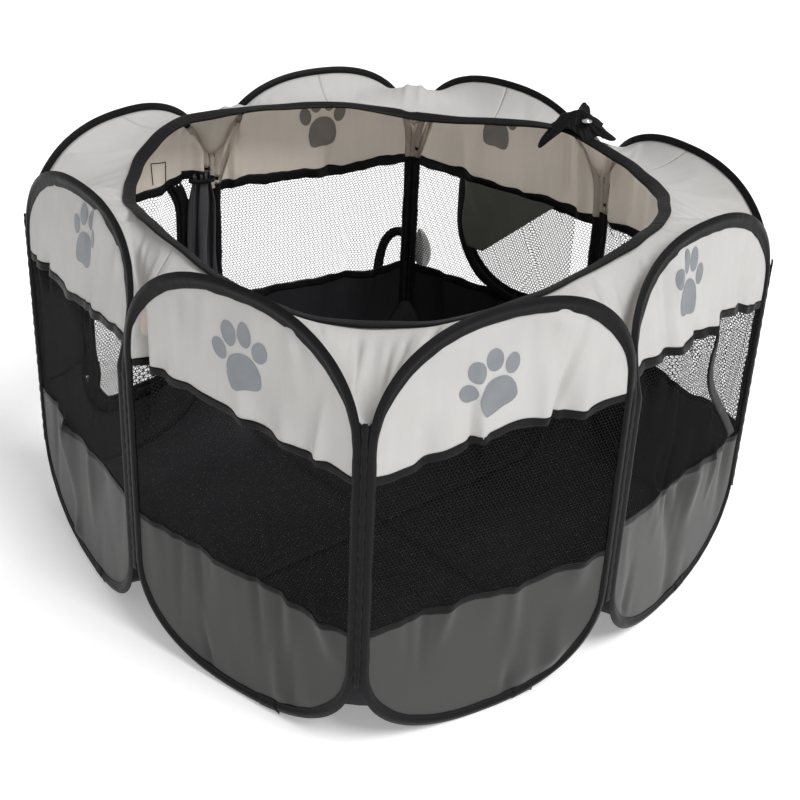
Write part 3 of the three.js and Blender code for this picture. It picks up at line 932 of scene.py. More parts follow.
def door_leaf(door, name, node, body):
    """The zipped mesh door: a mesh sheet in a bound border."""
    wall = WALLS[door["wall"]]
    x = np.linspace(door["x0"], door["x1"], 66)
    share = np.linspace(0, 1, 76)[:, None]
    grid_z = door["z0"] * (1 - share) + (wall.upper_seam(x) - 0.004)[None] * share
    grid_x = np.broadcast_to(x, grid_z.shape)
    outside = ~inside_outline(grid_x, grid_z, door_outline(door, -0.006))
    piece = fabric(wall, name + "_mesh", grid_x, grid_z, [MESH], 0, keep=~whole_cells(outside))
    remove_loose(piece)
    set_down(piece, body, "mesh", node, held="stretched")
    border = outline_band(wall, name + "_border", door, -TAPE + 0.002, -0.0008, 0.0018)
    set_down(border, body, "binding")
    frame_tape = outline_band(wall, name + "way_tape", door, -0.0035, TAPE, 0.0020, y=0.0024)
    set_down(frame_tape, wall.body, "binding")
    set_down(zip_teeth(wall, name + "_zip_teeth", door), wall.body, "binding")


# ---- printed paws ----

PAWS = [
    # wall, middle x, middle z, width, height, turn
    (0, 0.212, 0.524, 0.064, 0.080, -0.05),
    (1, 0.198, 0.500, 0.080, 0.084, 0.22),
    (2, 0.163, 0.492, 0.080, 0.080, 0.42),
    (3, 0.146, 0.519, 0.062, 0.086, -0.15),
    (4, 0.190, 0.505, 0.079, 0.094, 0.0),
    (5, 0.207, 0.515, 0.079, 0.094, 0.05),
    (6, 0.177, 0.500, 0.079, 0.094, 0.0),
    (7, 0.190, 0.505, 0.079, 0.094, 0.0),
]
TOES = [
    # middle [x, z], half width, half height and turn, as shares of the print's size
    (-0.40, 0.10, 0.130, 0.165, 0.42),
    (-0.16, 0.335, 0.145, 0.185, 0.14),
    (0.16, 0.335, 0.145, 0.185, -0.14),
    (0.40, 0.10, 0.130, 0.165, -0.42),
]


def pad_radius(turn):
    """The big pad: broad at the bottom with two lobes, narrow at the top."""
    broad = 0.295 + 0.020 * np.cos(2 * turn)
    lobes = 0.065 * hump(np.cos(turn) ** 2, 0.55, 0.35) * (np.sin(turn) < 0)
    dent = 0.030 * hump(turn, 1.5 * np.pi, 0.38)
    peak = -0.020 * np.sin(turn)
    return broad + lobes - dent + peak


def turned_flat(points, angle):
    c, s = math.cos(angle), math.sin(angle)
    return points @ np.array([[c, s], [-s, c]])


def disc_points(centre, radius_at, turn, size, angle, rings=9, spokes=44):
    """A flat filled outline as rings round a middle point, in wall coordinates."""
    made = [(0.0, 0.0)]
    for ring in range(1, rings + 1):
        for a in np.linspace(0, 2 * np.pi, spokes, endpoint=False):
            r = np.array(radius_at(a)) * ring / rings
            made.append((r[0] * math.cos(a), r[1] * math.sin(a)))
    made = (turned_flat(np.array(made), turn) + np.array(centre)) * np.array(size)
    faces = [(0, 1 + k, 1 + (k + 1) % spokes) for k in range(spokes)]
    for base in range(1, 1 + (rings - 1) * spokes, spokes):
        for k in range(spokes):
            m = (k + 1) % spokes
            faces.append((base + k, base + spokes + k, base + spokes + m, base + m))
    return turned_flat(made, angle), faces


def paw_print(index, x, z, wide, tall, angle):
    """A paw printed on the outside of a wall, and the shadow of it on the inside."""
    wall = WALLS[index]
    flat, faces = [], []
    shapes = [((tx, tz), lambda a, w=w, h=h: (w, h), turn) for tx, tz, w, h, turn in TOES]
    shapes.append(((0.0, -0.19), lambda a: (pad_radius(a),) * 2, 0.0))
    for centre, radius_at, turn in shapes:
        points, disc = disc_points(centre, radius_at, turn, (wide, tall), angle)
        faces += [tuple(len(flat) + v for v in face) for face in disc]
        flat += [tuple(p) for p in points]
    flat = np.array(flat) + np.array([x, z])
    for side, label, material in ((-1, "_paw_print", PAW_INK), (1, "_paw_show_through", SHOW_THROUGH)):
        points = wall.place(flat[:, 0], flat[:, 1], side * (CLOTH / 2 + 0.0004))
        piece = new_piece(wall.name + label, points, faces, flat, [material])
        set_down(piece, wall.body, "dark_oxford")


# ---- roof and rim ----

# The stiff cloth stands up over the valleys at the rear. Share of the way up to its crest, by corner.
CREST_SHARE = {4: 0.15, 5: 0.60, 6: 0.95, 7: 0.75, 0: 0.15}
CREST_HEIGHT = 0.561
# It sinks beside the hoops at two of the front corners.
SINKS = {1: 0.042, 3: 0.022}
ROOF_ROWS = 22
ROOF_HALF = 46


def rim_height(angle):
    """A smooth closed curve through the rim's stations."""
    waves = np.fft.rfft(RIM_HEIGHTS) / len(RIM_HEIGHTS)
    angle = np.asarray(angle, float)
    height = waves[0].real + np.zeros(angle.shape)
    for k, wave in enumerate(waves[1:-1], start=1):
        height = height + 2 * (wave.real * np.cos(k * angle) - wave.imag * np.sin(k * angle))
    return height


def rim_point(angle, radius, drop=0.0):
    """A point of the rim, or one that hangs lower by drop."""
    return stacked(radius * np.cos(angle), radius * np.sin(angle), rim_height(angle) - drop)


def hoop_edge(wall, towards_end):
    """Where the roof leaves a hoop: from the top of its arch down to the valley at one corner."""
    half = MIDDLE - SEAM_GAP - ROOF_DROP
    lowest = math.asin(((VALLEY_Z + 0.002 - HEIGHT + TOP_RISE) / (TOP_RISE - ROOF_DROP)) ** (ARCH_POWER / 2))
    turn = np.linspace(math.pi / 2, lowest, 90)
    x = half * np.cos(turn) ** (2 / ARCH_POWER)
    z = HEIGHT - TOP_RISE + (TOP_RISE - ROOF_DROP) * np.sin(turn) ** (2 / ARCH_POWER)
    x = MIDDLE + x if towards_end else MIDDLE - x
    return wall.place(x, z, ROOF_START - 0.0012, cloth=False)


def corner_inward(index):
    return -unit(CORNERS[index % 8])


def valley_foot(index):
    """Where the roof's valley starts, just inside the corner between two hoops."""
    before, after = corner_walls(index)
    low = (hoop_edge(before, True)[-1] + hoop_edge(after, False)[-1]) / 2
    corner = CORNERS[index % 8]
    low[:2] = corner + corner_inward(index) * (ROOF_START * 1.2 + 0.2 * np.linalg.norm(low[:2] - corner))
    low[2] = VALLEY_Z - 0.010
    return low


def roof_lines(index, side):
    """Outer edge of the roof cloth from a mid wall to the valley of a corner, and its angles round the pen.

    side is -1 for the wall before the corner and 1 for the wall after it.
    """
    wall = corner_walls(index)[side > 0]
    edge = np.vstack([hoop_edge(wall, side < 0), valley_foot(index)])
    outer, _ = resampled(edge, ROOF_HALF)
    here, far = np.unwrap([math.atan2(y, x) for x, y in (CORNERS[index % 8], wall.middle)])
    share = np.linspace(0, 1, ROOF_HALF)
    return outer, far + (here - far) * (share * 0.75 + 0.25 * share**2)


def roof_surface(index, side, wrinkle=True):
    """Grid of roof points, from the hoop to the rim, mid wall first."""
    outer, angle = roof_lines(index, side)
    inner = rim_point(angle, RIM_RADIUS - 0.008, RIM_TILT * 0.008 / RIM_WIDTH)
    share = np.linspace(0, 1, ROOF_ROWS)[:, None, None]
    points = outer[None] * (1 - share) + inner[None] * share
    v = share[..., 0]
    u = np.linspace(0, 1, ROOF_HALF)[None]  # 1 at the valley
    lift = -0.008 * np.sin(np.pi * v) * (1 - u**3)
    crest_line = 0.58 * outer[:, 2] + 0.42 * inner[:, 2]
    room = np.clip(CREST_HEIGHT - crest_line, 0, None)[None] * smoothstep(0.02, 0.45, u)
    lift = lift + CREST_SHARE.get(index % 8, 0.0) * room * np.sin(np.pi * v**0.85)
    sunk = hump(v, 0.24, 0.16) * smoothstep(0.45, 0.80, u)
    lift = lift - SINKS.get(index % 8, 0.0) * sunk
    if wrinkle:
        random = np.random.default_rng(900 + 10 * (index % 8) + side)
        taper = between(0.0, 0.25, 0.70, 0.94, v) * smoothstep(0.0, 0.12, u)
        for _ in range(9):
            where = random.uniform(0.25, 0.97)
            wide = random.uniform(0.02, 0.06)
            deep = random.normal(0, 0.0036) * (1.0 - 0.95 * CREST_SHARE.get(index % 8, 0.0))
            slant = random.normal(0, 0.18)
            lift = lift + deep * hump(u, where + slant * (v - 0.5), wide) * taper
        lift = lift + hump(u, 0.93, 0.035) * 0.004 * taper
    points[..., 2] += lift
    return points, angle


def roof_normals_up(piece):
    """Turns the sheet so that its first face looks up and out."""
    if sum(p.normal.z for p in piece.data.polygons) < 0:
        piece.data.flip_normals()


def grid_uvs(points):
    """Flat coordinates for a curved grid, from its lengths along both directions."""
    across = np.linalg.norm(np.diff(points, axis=1), axis=2).mean(0)
    up = np.linalg.norm(np.diff(points, axis=0), axis=2).mean(1)
    u = np.concatenate([[0], np.cumsum(across)])
    v = np.concatenate([[0], np.cumsum(up)])
    return stacked(u[None, :], v[:, None])


def roof_piece(name, points, smooth_points):
    faces = grid_faces(*points.shape[:2])
    uvs = grid_uvs(smooth_points)
    # The under face carries the painted beige cast of the shaded inside.
    piece = new_piece(name, points, faces, uvs, [LIGHT_GREY, INNER_CAST_PAINT])
    roof_normals_up(piece)
    note_cut(piece, smooth_points, faces, np.ptp(uvs[..., 0]), np.ptp(uvs[..., 1]) * 1.25)
    return thicken(piece, CLOTH, back=1)


RIM_SECTION = [
    # [share of the way in, height above the cloth], round the folded binding
    (0.00, 0.0000),
    (0.02, 0.0016),
    (0.12, 0.0022),
    (0.50, 0.0021),
    (0.90, 0.0020),
    (0.98, 0.0014),
    (1.00, 0.0000),
    (0.98, -0.0014),
    (0.90, -0.0020),
    (0.50, -0.0021),
    (0.12, -0.0022),
    (0.02, -0.0016),
]


def rim_edges(angle):
    """The outer and the inner edge of the binding, which is a little uneven."""
    wobble = 0.0009 * np.sin(17 * angle) + 0.0006 * np.sin(31 * angle + 1.0)
    twist = 0.0022 * np.sin(5 * angle + 0.5) + 0.0012 * np.sin(13 * angle)
    outer = rim_point(angle, RIM_RADIUS + wobble)
    inner = rim_point(angle, RIM_RADIUS - RIM_WIDTH + wobble, RIM_TILT + twist)
    return outer, inner


def rim_band(name, angle):
    """A stretch of the binding round the opening."""
    outer, inner = rim_edges(np.linspace(angle[0], angle[-1], 2 * ROOF_HALF))
    share, high = np.array(RIM_SECTION).T[..., None]
    points = outer[None] * (1 - share[:, None]) + inner[None] * share[:, None]
    points[..., 2] += high + 0.0006
    points = np.swapaxes(points, 0, 1)
    uvs = pair_grid(run_lengths(outer), np.linspace(0, 2 * RIM_WIDTH, len(RIM_SECTION)))
    faces = ring_faces(*points.shape[:2], closed=False)
    return joined_normals(new_piece(name, points, faces, uvs, [BINDING]))


STITCH_PITCH = 0.0046
HALF_STITCH = 0.0015 / RIM_RADIUS  # as an angle round the rim
# A stitch's points: share of its half length, metres outwards and metres up.
STITCH = [
    (-1, -0.0003, 0),
    (1, -0.0003, 0),
    (1, 0.0003, 0),
    (-1, 0.0003, 0),
    (-0.6, 0, 0.0004),
    (0.6, 0, 0.0004),
]
STITCH_FACES = ((0, 1, 5, 4), (3, 4, 5, 2), (0, 4, 3), (1, 2, 5), (0, 3, 2, 1))


def rim_stitches(name, angle):
    """Two rows of stitches on the binding."""
    points, faces = [], []
    turn = angle[-1] - angle[0]
    count = int(abs(turn) * RIM_RADIUS / STITCH_PITCH)
    for share, lift in ((0.12, 0.0026), (0.88, 0.0024)):
        for i in range(count):
            middle = angle[0] + turn * (i + 0.5) / count
            faces += [tuple(len(points) + f for f in face) for face in STITCH_FACES]
            for ahead, side, up in STITCH:
                outer, inner = rim_edges(middle + ahead * HALF_STITCH)
                point = outer * (1 - share) + inner * share
                point[2] += lift + up
                point[:2] *= 1 + side / RIM_RADIUS
                points.append(point)
    return joined_normals(new_piece(name, points, faces, None, [THREAD], smooth=False))


def bend_at_corner(piece):
    """Bakes the world placing of a piece at a corner into its mesh."""
    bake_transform(piece)


def blend_over_corner(piece):
    """Bakes the world placing of a piece that runs from mid wall to mid wall into its mesh."""
    bend_at_corner(piece)


def roof_corner(index):
    """Roof cloth and rim binding over one corner, from mid wall to mid wall, in two halves if it is open."""
    walls = corner_walls(index)
    halves = [roof_surface(index, side) for side in (-1, 1)]
    smooth = [roof_surface(index, side, wrinkle=False)[0] for side in (-1, 1)]
    label = "corner_%s_to_%s" % (walls[0].name, walls[1].name)
    if index == OPEN_CORNER:
        ends = ("_first_half", "_last_half")
        parts = [(label + end, half[0], flat, half[1]) for end, half, flat in zip(ends, halves, smooth)]
    else:
        (left, angle_left), (right, angle_right) = halves
        points = np.concatenate([left, right[:, ::-1][:, 1:]], 1)
        flat = np.concatenate([smooth[0], smooth[1][:, ::-1][:, 1:]], 1)
        parts = [(label, points, flat, np.concatenate([angle_left, angle_right[::-1][1:]]))]
    for wall, (name, points, flat, angle) in zip(walls, parts):
        roof = roof_piece(name + "_roof", points, flat)
        band = rim_band(name + "_rim", angle)
        stitches = rim_stitches(name + "_rim_stitches", angle)
        for piece, slot in ((roof, "light_oxford"), (band, "binding"), (stitches, "binding")):
            if index == OPEN_CORNER:
                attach(piece, wall.body)
            else:
                blend_over_corner(piece)
        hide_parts(*[w.name + "_roof_border" for w in walls])
        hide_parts("rim_binding")


# ---- the sewn-in floor ----

FLOOR_STEPS = 34


def floor_corner(index):
    """A quarter of the floor, round one of the four sharp corners, turned up to the hoops."""
    here, ahead, behind = CORNERS[index], CORNERS[(index + 1) % 8], CORNERS[(index - 1) % 8]
    t = np.linspace(0, 1, FLOOR_STEPS) ** 1.3
    a, b = np.meshgrid(t, t)
    # Points of a patch between the corner, its two neighbours and the middle of the pen.
    flat = (
        here * ((1 - a) * (1 - b))[..., None]
        + ahead * (a * (1 - b))[..., None]
        + behind * ((1 - a) * b)[..., None]
    )
    flat = flat * (1 - 0.006 / np.maximum(np.linalg.norm(flat, axis=-1), 0.006))[..., None]
    rise_a = arch_bottom(a * SIDE, 0.012) * (1 - smoothstep(0.0, 0.30, b))
    rise_b = arch_bottom(b * SIDE, 0.012) * (1 - smoothstep(0.0, 0.30, a))
    z = 0.0016 + np.maximum(rise_a, rise_b) * 0.97
    random = np.random.default_rng(70 + index)
    for _ in range(10):
        centre = random.uniform(0.1, 0.9, 2)
        heading = random.uniform(0, np.pi)
        across = (a - centre[0]) * math.cos(heading) + (b - centre[1]) * math.sin(heading)
        along = -(a - centre[0]) * math.sin(heading) + (b - centre[1]) * math.cos(heading)
        z = z + 0.0022 * hump(across, 0, 0.03) * hump(along, 0, 0.25)
    points = np.concatenate([flat, z[..., None]], -1)
    faces = grid_faces(FLOOR_STEPS, FLOOR_STEPS)
    piece = new_piece(CORNER_NAMES[index] + "_floor_cloth", points, faces, flat, [BLACK_CLOTH])
    note_cut(piece, points, faces, np.linalg.norm(ahead - behind), np.linalg.norm(here) * 1.1)
    roof_normals_up(piece)
    thicken(piece, FLOOR_CLOTH)
    bend_at_corner(piece)
    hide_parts("floor_panel")


# ---- corner seams ----

def seam_strip(name, index, low, high, outer, inner, broad, material, slot):
    """A stitched tape up a corner, between two distances inwards from the line where the hoops meet."""
    before, after = corner_walls(index)
    corner, inward = CORNERS[index], corner_inward(index)
    z = np.linspace(low, high, 70)
    path = (before.place(SIDE, z, cloth=False) + after.place(0.0, z, cloth=False)) / 2
    path[:, :2] += 0.0003 * np.sin(z * 400)[:, None]
    sideways = np.tile([*inward, 0.0], (len(z), 1))
    turn = np.linspace(0, 2 * np.pi, 10, endpoint=False)
    pinch = 1 + 0.12 * np.sin(z * 900)
    across = (outer + inner) / 2 + (inner - outer) / 2 * pinch[:, None] * np.cos(turn)
    section = stacked(across, broad / 2 * pinch[:, None] * np.sin(turn))
    piece = swept(name, path, sideways, section, material)
    if index == OPEN_CORNER:
        set_down(piece, after.body, slot)
        return
    bend_at_corner(piece)


def corner_seam(index):
    """The seam that hinges two hoops together, closed on the inside at the rear corners by a strip in the
    painted beige cast of the inner face.
    """
    name = "corner_%d" % index
    broad = 0.0090 if index % 2 else 0.0072
    low = BOTTOM_RISE - 0.03
    seam_strip(name + "_seam", index, low, VALLEY_Z, -0.0010, 0.0016, broad, BINDING, "binding")
    if index in REAR_CORNERS:
        low, high = UPPER_EDGE - 0.002, VALLEY_Z + 0.014
        seam_strip(name + "_lining_seam", index, low, high, 0.0020, 0.0046, 0.0085, INNER_CAST_PAINT, "light_oxford")


def corner_facing(wall, at_end):
    """A strip in the painted beige cast of the inner face carries on over the inner half of the binding where
    a hoop turns up to the corner.
    """
    path, points, uvs = sleeve_rings(wall, grow=1.05)
    x, z = path.T
    near = x > MIDDLE if at_end else x < MIDDLE
    rows = np.flatnonzero(near & (z > wall.upper_seam(x) - 0.004) & (z < VALLEY_Z + 0.055))
    half = len(SLEEVE_SECTION)
    points, uvs = points[rows, 1:half].copy(), uvs[rows, 1:half]
    above = z[rows] > VALLEY_Z + 0.006
    lip = next(k for k, (out, _) in enumerate(SLEEVE_SECTION[1:]) if out < -0.0012)
    points[above, :lip] = points[above, lip][:, None]
    points = points + 0.0005 * np.array([*wall.inward, 0.0])
    name = wall.name + ("_last" if at_end else "_first") + "_corner_facing"
    piece = new_piece(name, points, grid_faces(len(rows), half - 1), uvs, [INNER_CAST_PAINT])
    thicken(piece, 0.0005)
    set_down(piece, wall.body, "light_oxford")


# ---- straps, curtains and small parts ----

# Half widths and half thicknesses.
RIBBON_SECTION = [(-1, 0), (-0.95, 1), (0, 1), (0.95, 1), (1, 0), (0.95, -1), (0, -1), (-0.95, -1)]


def ribbon(name, path, widthwise, width, thickness, material):
    """A flat strap along a path of world points. widthwise holds the direction of its width."""
    sizes = stacked(np.full(len(path), width), thickness)
    section = np.array(RIBBON_SECTION)[None] * sizes[:, None] / 2
    return swept(name, path, widthwise, section, material)


def smooth_path(points, count):
    """A rounded line through a few points."""
    points = np.asarray(points, float)
    ends = np.vstack([2 * points[0] - points[1], points, 2 * points[-1] - points[-2]])
    made = []
    for i in range(1, len(ends) - 2):
        p, q, r, t = ends[i - 1 : i + 3]
        for u in np.linspace(0, 1, 12, endpoint=False):
            bend = (2 * p - 5 * q + 4 * r - t) * u**2 + (3 * q - p - 3 * r + t) * u**3
            made.append(0.5 * (2 * q + (r - p) * u + bend))
    made.append(points[-1])
    return resampled(made, count)[0]


UP = np.array([0.0, 0.0, 1.0])
HANDLE_LINE = [
    # [x, z] of the loop, seen from the front
    (-0.050, 0.140),
    (-0.052, 0.190),
    (-0.051, 0.218),
    (-0.043, 0.246),
    (-0.028, 0.263),
    (-0.013, 0.264),
    (-0.003, 0.249),
    (0.002, 0.226),
    (0.003, 0.200),
    (0.003, 0.170),
    (0.002, 0.140),
]


def carry_handle():
    """A loop of webbing sewn to both walls outside the rear corner, twisted in its right leg."""
    corner = CORNERS[6]
    slope = abs(WALLS[5].along[1] / WALLS[5].along[0])
    x, z = smooth_path(HANDLE_LINE, 70).T
    free = smoothstep(0.17, 0.26, z)
    y = corner[1] + 0.008 - slope * np.abs(x) * (1 - free) + 0.006 * free
    path = stacked(x, y, z)
    forward = unit(np.gradient(path, axis=0))
    share = np.linspace(0, 1, len(path))
    twist = 0.35 * smoothstep(0.2, 0.4, share) + 1.15 * smoothstep(0.52, 0.68, share)
    twist = (twist - 1.2 * smoothstep(0.78, 0.95, share))[:, None]
    flat = unit(stacked(-forward[:, 2], 0.0, forward[:, 0]))
    widthwise = np.cos(twist) * flat + np.sin(twist) * np.array([0.0, 1.0, 0.0])
    widthwise = unit(widthwise - np.sum(widthwise * forward, 1)[:, None] * forward)
    width = 0.019 - 0.003 * np.sin(np.pi * share)
    piece = ribbon("webbing_handle", path, widthwise, width, 0.0018, WEBBING)
    bend_at_corner(piece)
    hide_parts("carry_handle")


def loose_sheet(name, points, flat, size, material, thickness, *ride, held):
    """A cut cloth that isn't stretched in a hoop. ride holds its body, its slot and its CAD node."""
    faces = grid_faces(*flat.shape[:2])
    piece = new_piece(name, points, faces, flat, [material])
    note_cut(piece, flat, faces, *size)
    thicken(piece, thickness)
    set_down(piece, *ride, held=held)


LEAF_LENGTH = 0.074


def leaf_tag():
    """A small folded label sewn in beside the handle, shaped like a leaf."""
    share = np.linspace(0, 1, 26)[:, None]
    across = np.linspace(-1, 1, 11)[None]
    half = 0.0135 * np.sin(np.pi * np.clip(share**0.75, 0.0, 1)) ** 0.65 + 0.0012
    x = 0.026 - 0.007 * share + half * across + 0.003 * np.sin(np.pi * share)
    z = 0.202 + LEAF_LENGTH * share + 0.003 * across * np.sin(np.pi * share)
    y = CORNERS[6][1] + 0.009 - 0.35 * np.maximum(x, 0)
    y = y + 0.0035 * np.abs(across) + 0.004 * np.sin(2.6 * share)
    points = stacked(x, y, z)
    flat = stacked(half * across, LEAF_LENGTH * share)
    size = (0.0294, LEAF_LENGTH)
    loose_sheet("leaf_tag", points, flat, size, LABEL, 0.0005, "tag", "label", "handle_tag", held="hung")


def gathered_curtain():
    """The side door's curtain, gathered in upright pleats beside the rear left corner."""
    wall = WALLS[7]
    share = np.linspace(0, 1, 60)[:, None]
    t = np.linspace(0, 1, 90)[None]
    low, high = LOWER_EDGE + 0.004, wall.upper_seam(0.03) - 0.002
    z = low + (high - low) * share + 0 * t
    width = 0.064 - 0.018 * smoothstep(0.75, 1.0, share) - 0.006 * np.sin(2.0 * share)
    middle = 0.037 + 0.004 * np.sin(3 * share + 0.4)
    pleat = 2 * np.pi * 1.8 * t + 0.9 * share
    x = middle + width * (t - 0.5) + 0.004 * np.sin(2 * pleat)
    y = 0.014 + 0.0080 * np.cos(pleat) * (1 - 0.35 * smoothstep(0.8, 1.0, share))
    y = y + 0.0016 * np.sin(7 * pleat / 3 + 9 * share)
    points = wall.place(x, z, y, cloth=False)
    u = grid_uvs(points)[0, :, 0]
    flat = stacked(u[None], z - low)
    size = (u[-1], high - low)
    ride = (wall.body, "dark_oxford", "side_door_curtain")
    loose_sheet("gathered_door_curtain", points, flat, size, CURTAIN_GREY, 0.0007, *ride, held="gathered")
    turn = np.linspace(0, 2 * np.pi, 40)
    x = middle[-1, 0] + 0.026 * np.cos(turn)
    path = wall.place(x, high - 0.010 + 0.004 * np.cos(turn), 0.014 + 0.0115 * np.sin(turn), cloth=False)
    tie = ribbon("curtain_tie", path, np.tile(UP, (len(path), 1)), 0.007, 0.0014, WEBBING)
    set_down(tie, wall.body, "binding")


def rear_curtain():
    """The rear door's curtain, folded back to one corner so that it fills a triangle of the doorway."""
    wall = WALLS[REAR_DOOR["wall"]]
    bottom, top = 0.285, float(wall.upper_seam(0.15)) - 0.004
    z = bottom + (top - bottom) * np.linspace(0, 1, 40)[:, None]
    diagonal = 0.214 - 0.134 * np.clip((z - bottom) / (top - bottom), 0, 1)
    radius = REAR_DOOR["radii"][1]
    below = np.clip(REAR_DOOR["z0"] + radius - z, 0, radius)
    edge = REAR_DOOR["x1"] - radius + np.sqrt(radius**2 - below**2) - 0.004
    t = np.linspace(0, 1, 34)[None]
    x = diagonal + (edge - diagonal) * t
    z = z + 0 * t
    y = 0.0115 + 0.0016 * np.sin(60 * x + 35 * z) + 0.0011 * np.sin(150 * x - 90 * z)
    flat, size = stacked(x, z), (np.ptp(x), np.ptp(z))
    ride = ("rear_door", "dark_oxford", "rear_door_curtain")
    points = wall.place(x, z, y)
    loose_sheet("folded_back_curtain", points, flat, size, OLIVE_GREY, 0.0008, *ride, held="folded")


def creased_mesh(wall, name, body, x, z, keep=None, seed=0):
    """A second, loose layer of mesh with sharp slanting creases."""
    random = np.random.default_rng(seed)
    y = 0.0045 + 0 * z
    for _ in range(16):
        where = random.uniform(x.min() + 0.01, x.max() - 0.01)
        slant = random.normal(0.35, 0.45)
        bend = random.normal(0, 2.5)
        wide = random.uniform(0.002, 0.006)
        level = random.uniform(z.min(), z.max())
        line = where + slant * (z - level) + bend * (z - level) ** 2
        reach = hump(z, level, random.uniform(0.05, 0.12))
        y = y + random.uniform(0.002, 0.0055) * hump(x, line, wide) * reach
    edge = np.minimum(x - x.min(), x.max() - x)
    piece = fabric(wall, name, x, z, [MESH], 0, keep=keep, y=np.minimum(y, 0.0010 + 0.5 * edge))
    remove_loose(piece)
    set_down(piece, body, "mesh", held="stretched")


def mesh_linings():
    """The loose second layers of mesh, on the rear door and on the window beside it."""
    wall = WALLS[REAR_DOOR["wall"]]
    x = np.linspace(REAR_DOOR["x0"], REAR_DOOR["x1"], 90)
    z = column_grid(np.full(90, REAR_DOOR["z0"]), wall.upper_seam(x) - 0.006, 70)
    x = np.broadcast_to(x, z.shape)
    keep = whole_cells(inside_outline(x, z, door_outline(REAR_DOOR, -0.004)))
    creased_mesh(wall, "rear_door_mesh_lining", "rear_door", x, z, keep, seed=31)
    wall = WALLS[4]
    x = np.linspace(SLEEVE_INNER, SIDE - SLEEVE_INNER, 130)
    z = column_grid(wall.lower_seam(x) + 0.002, wall.upper_seam(x) - 0.004, 80)
    creased_mesh(wall, "right_rear_mesh_lining", wall.body, np.broadcast_to(x, z.shape), z, seed=47)


def side_panel():
    """Between the side doorway and the left corner the window is closed with dark cloth."""
    wall = WALLS[7]
    x = np.linspace(SIDE_DOOR["x1"] + 0.006, SIDE - SEAM_GAP - SIDE_INSET, 30)
    z = column_grid(wall.lower_seam(x), wall.upper_seam(x), 60)
    piece = fabric(wall, "left_rear_side_panel", x, z, [BLACK_CLOTH], CLOTH, y=0.0012, back=0)
    set_down(piece, wall.body, "black_oxford", held="stretched")


WINDOW_TAPE_LINE = [
    (0.219, 0.400),
    (0.218, 0.368),
    (0.232, 0.338),
    (0.262, 0.303),
    (0.300, 0.262),
    (0.340, 0.216),
]


def curved_window_tape():
    """A curved seam across the right front window."""
    wall = WALLS[3]
    top = (0.222, float(wall.upper_seam(0.222)) - 0.006)
    line = smooth_path([top] + WINDOW_TAPE_LINE, 60)
    step = np.gradient(line, axis=0)
    side = unit(stacked(-step[:, 1], step[:, 0]))
    flat = line[None] + np.linspace(-0.0068, 0.0068, 4)[:, None, None] * side[None]
    points = wall.place(flat[..., 0], flat[..., 1], 0.0006)
    piece = new_piece("right_front_window_tape", points, grid_faces(4, len(line)), flat, [BINDING])
    thicken(piece, 0.0024)
    set_down(piece, wall.body, "binding")


def stitched_box():
    """A rectangle of stitching on the lining above the side doorway."""
    wall = WALLS[7]
    x0, x1 = 0.104, 0.132
    z0 = float(wall.upper_seam(0.12)) + 0.002
    z1 = z0 + 0.034
    corners = [(x0, z0), (x0, z1), (x1, z1 + 0.004), (x1, z0 + 0.004)]
    line = np.vstack([np.linspace(a, b, 16) for a, b in zip(corners[:-1], corners[1:])])
    path = wall.place(line[:, 0], line[:, 1], CLOTH / 2 + 0.0008)
    sideways = np.tile([*wall.inward, 0.0], (len(path), 1))
    piece = ribbon("stitched_box", path, sideways, 0.0010, 0.0012, WEBBING)
    set_down(piece, wall.body, "binding")


CLUMP_TIPS = [
    # [direction in degrees from the left along the rim, length, height of the tip]
    (62, 0.050, 0.020),
    (305, 0.068, -0.036),
    (168, 0.066, -0.010),
    (15, 0.046, 0.002),
    (215, 0.048, -0.016),
    (340, 0.050, -0.010),
    (112, 0.046, 0.000),
]


def clump_point(reach, direction, layer):
    """A point of the bunched strap, from the middle outwards."""
    outward = np.array([math.cos(math.pi / 4), math.sin(math.pi / 4), 0.0])
    leftward = np.array([-outward[1], outward[0], 0.0])
    middle = outward * 0.378 + leftward * 0.010 + UP * 0.566
    length, height = 0.034 + 0 * direction, 0.0 * direction
    for where, long, high in CLUMP_TIPS:
        gap = np.angle(np.exp(1j * (direction - math.radians(where + 9 * layer))))
        pull = hump(gap, 0, 0.30)
        length = length + (long - 0.034) * pull
        height = height + high * pull
    length = length * (1 - 0.25 * layer)
    folds = 0.0032 * np.sin(7 * direction + 1.3 * layer) * reach + 0.0018 * np.sin(17 * direction + reach * 9)
    z = 0.016 * (1 - reach**1.6) + height * reach**1.7 + folds * (1 - 0.4 * reach) + 0.005 * layer
    flat = leftward * (length * reach * np.cos(direction))[..., None]
    flat = flat + outward * (0.80 * length * reach * np.sin(direction))[..., None]
    return middle + flat + z[..., None] * UP


def corner_clump():
    """The tie strap, bunched up over the rim at the rear right corner."""
    rings, spokes = 26, 150
    around = np.linspace(0, 2 * np.pi, spokes, endpoint=False)
    reach, direction = np.moveaxis(pair_grid(np.linspace(0.02, 1, rings), around), -1, 0)
    faces = grid_faces(rings, spokes, wrap=True) + [tuple(range(spokes))]
    flat = stacked(reach * np.cos(direction), reach * np.sin(direction)) * 0.06
    for layer in (0, 1):
        points = clump_point(reach, direction, layer)
        piece = new_piece("bunched_strap_%d" % (layer + 1), points, faces, flat, [WEBBING])
        thicken(piece, 0.0014)
        blend_over_corner(piece)
        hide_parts("corner_strap")


def turned(name, profile, centre, material, spokes=36):
    """A round part from [radius, height] points."""
    turn = np.linspace(0, 2 * np.pi, spokes, endpoint=False)
    radius, height = np.array(profile, float).T[..., None]
    ring = stacked(radius * np.cos(turn), radius * np.sin(turn), height)
    faces = ring_faces(len(profile), spokes, closed=False)
    return joined_normals(new_piece(name, np.array(centre) + ring, faces, None, [material]))


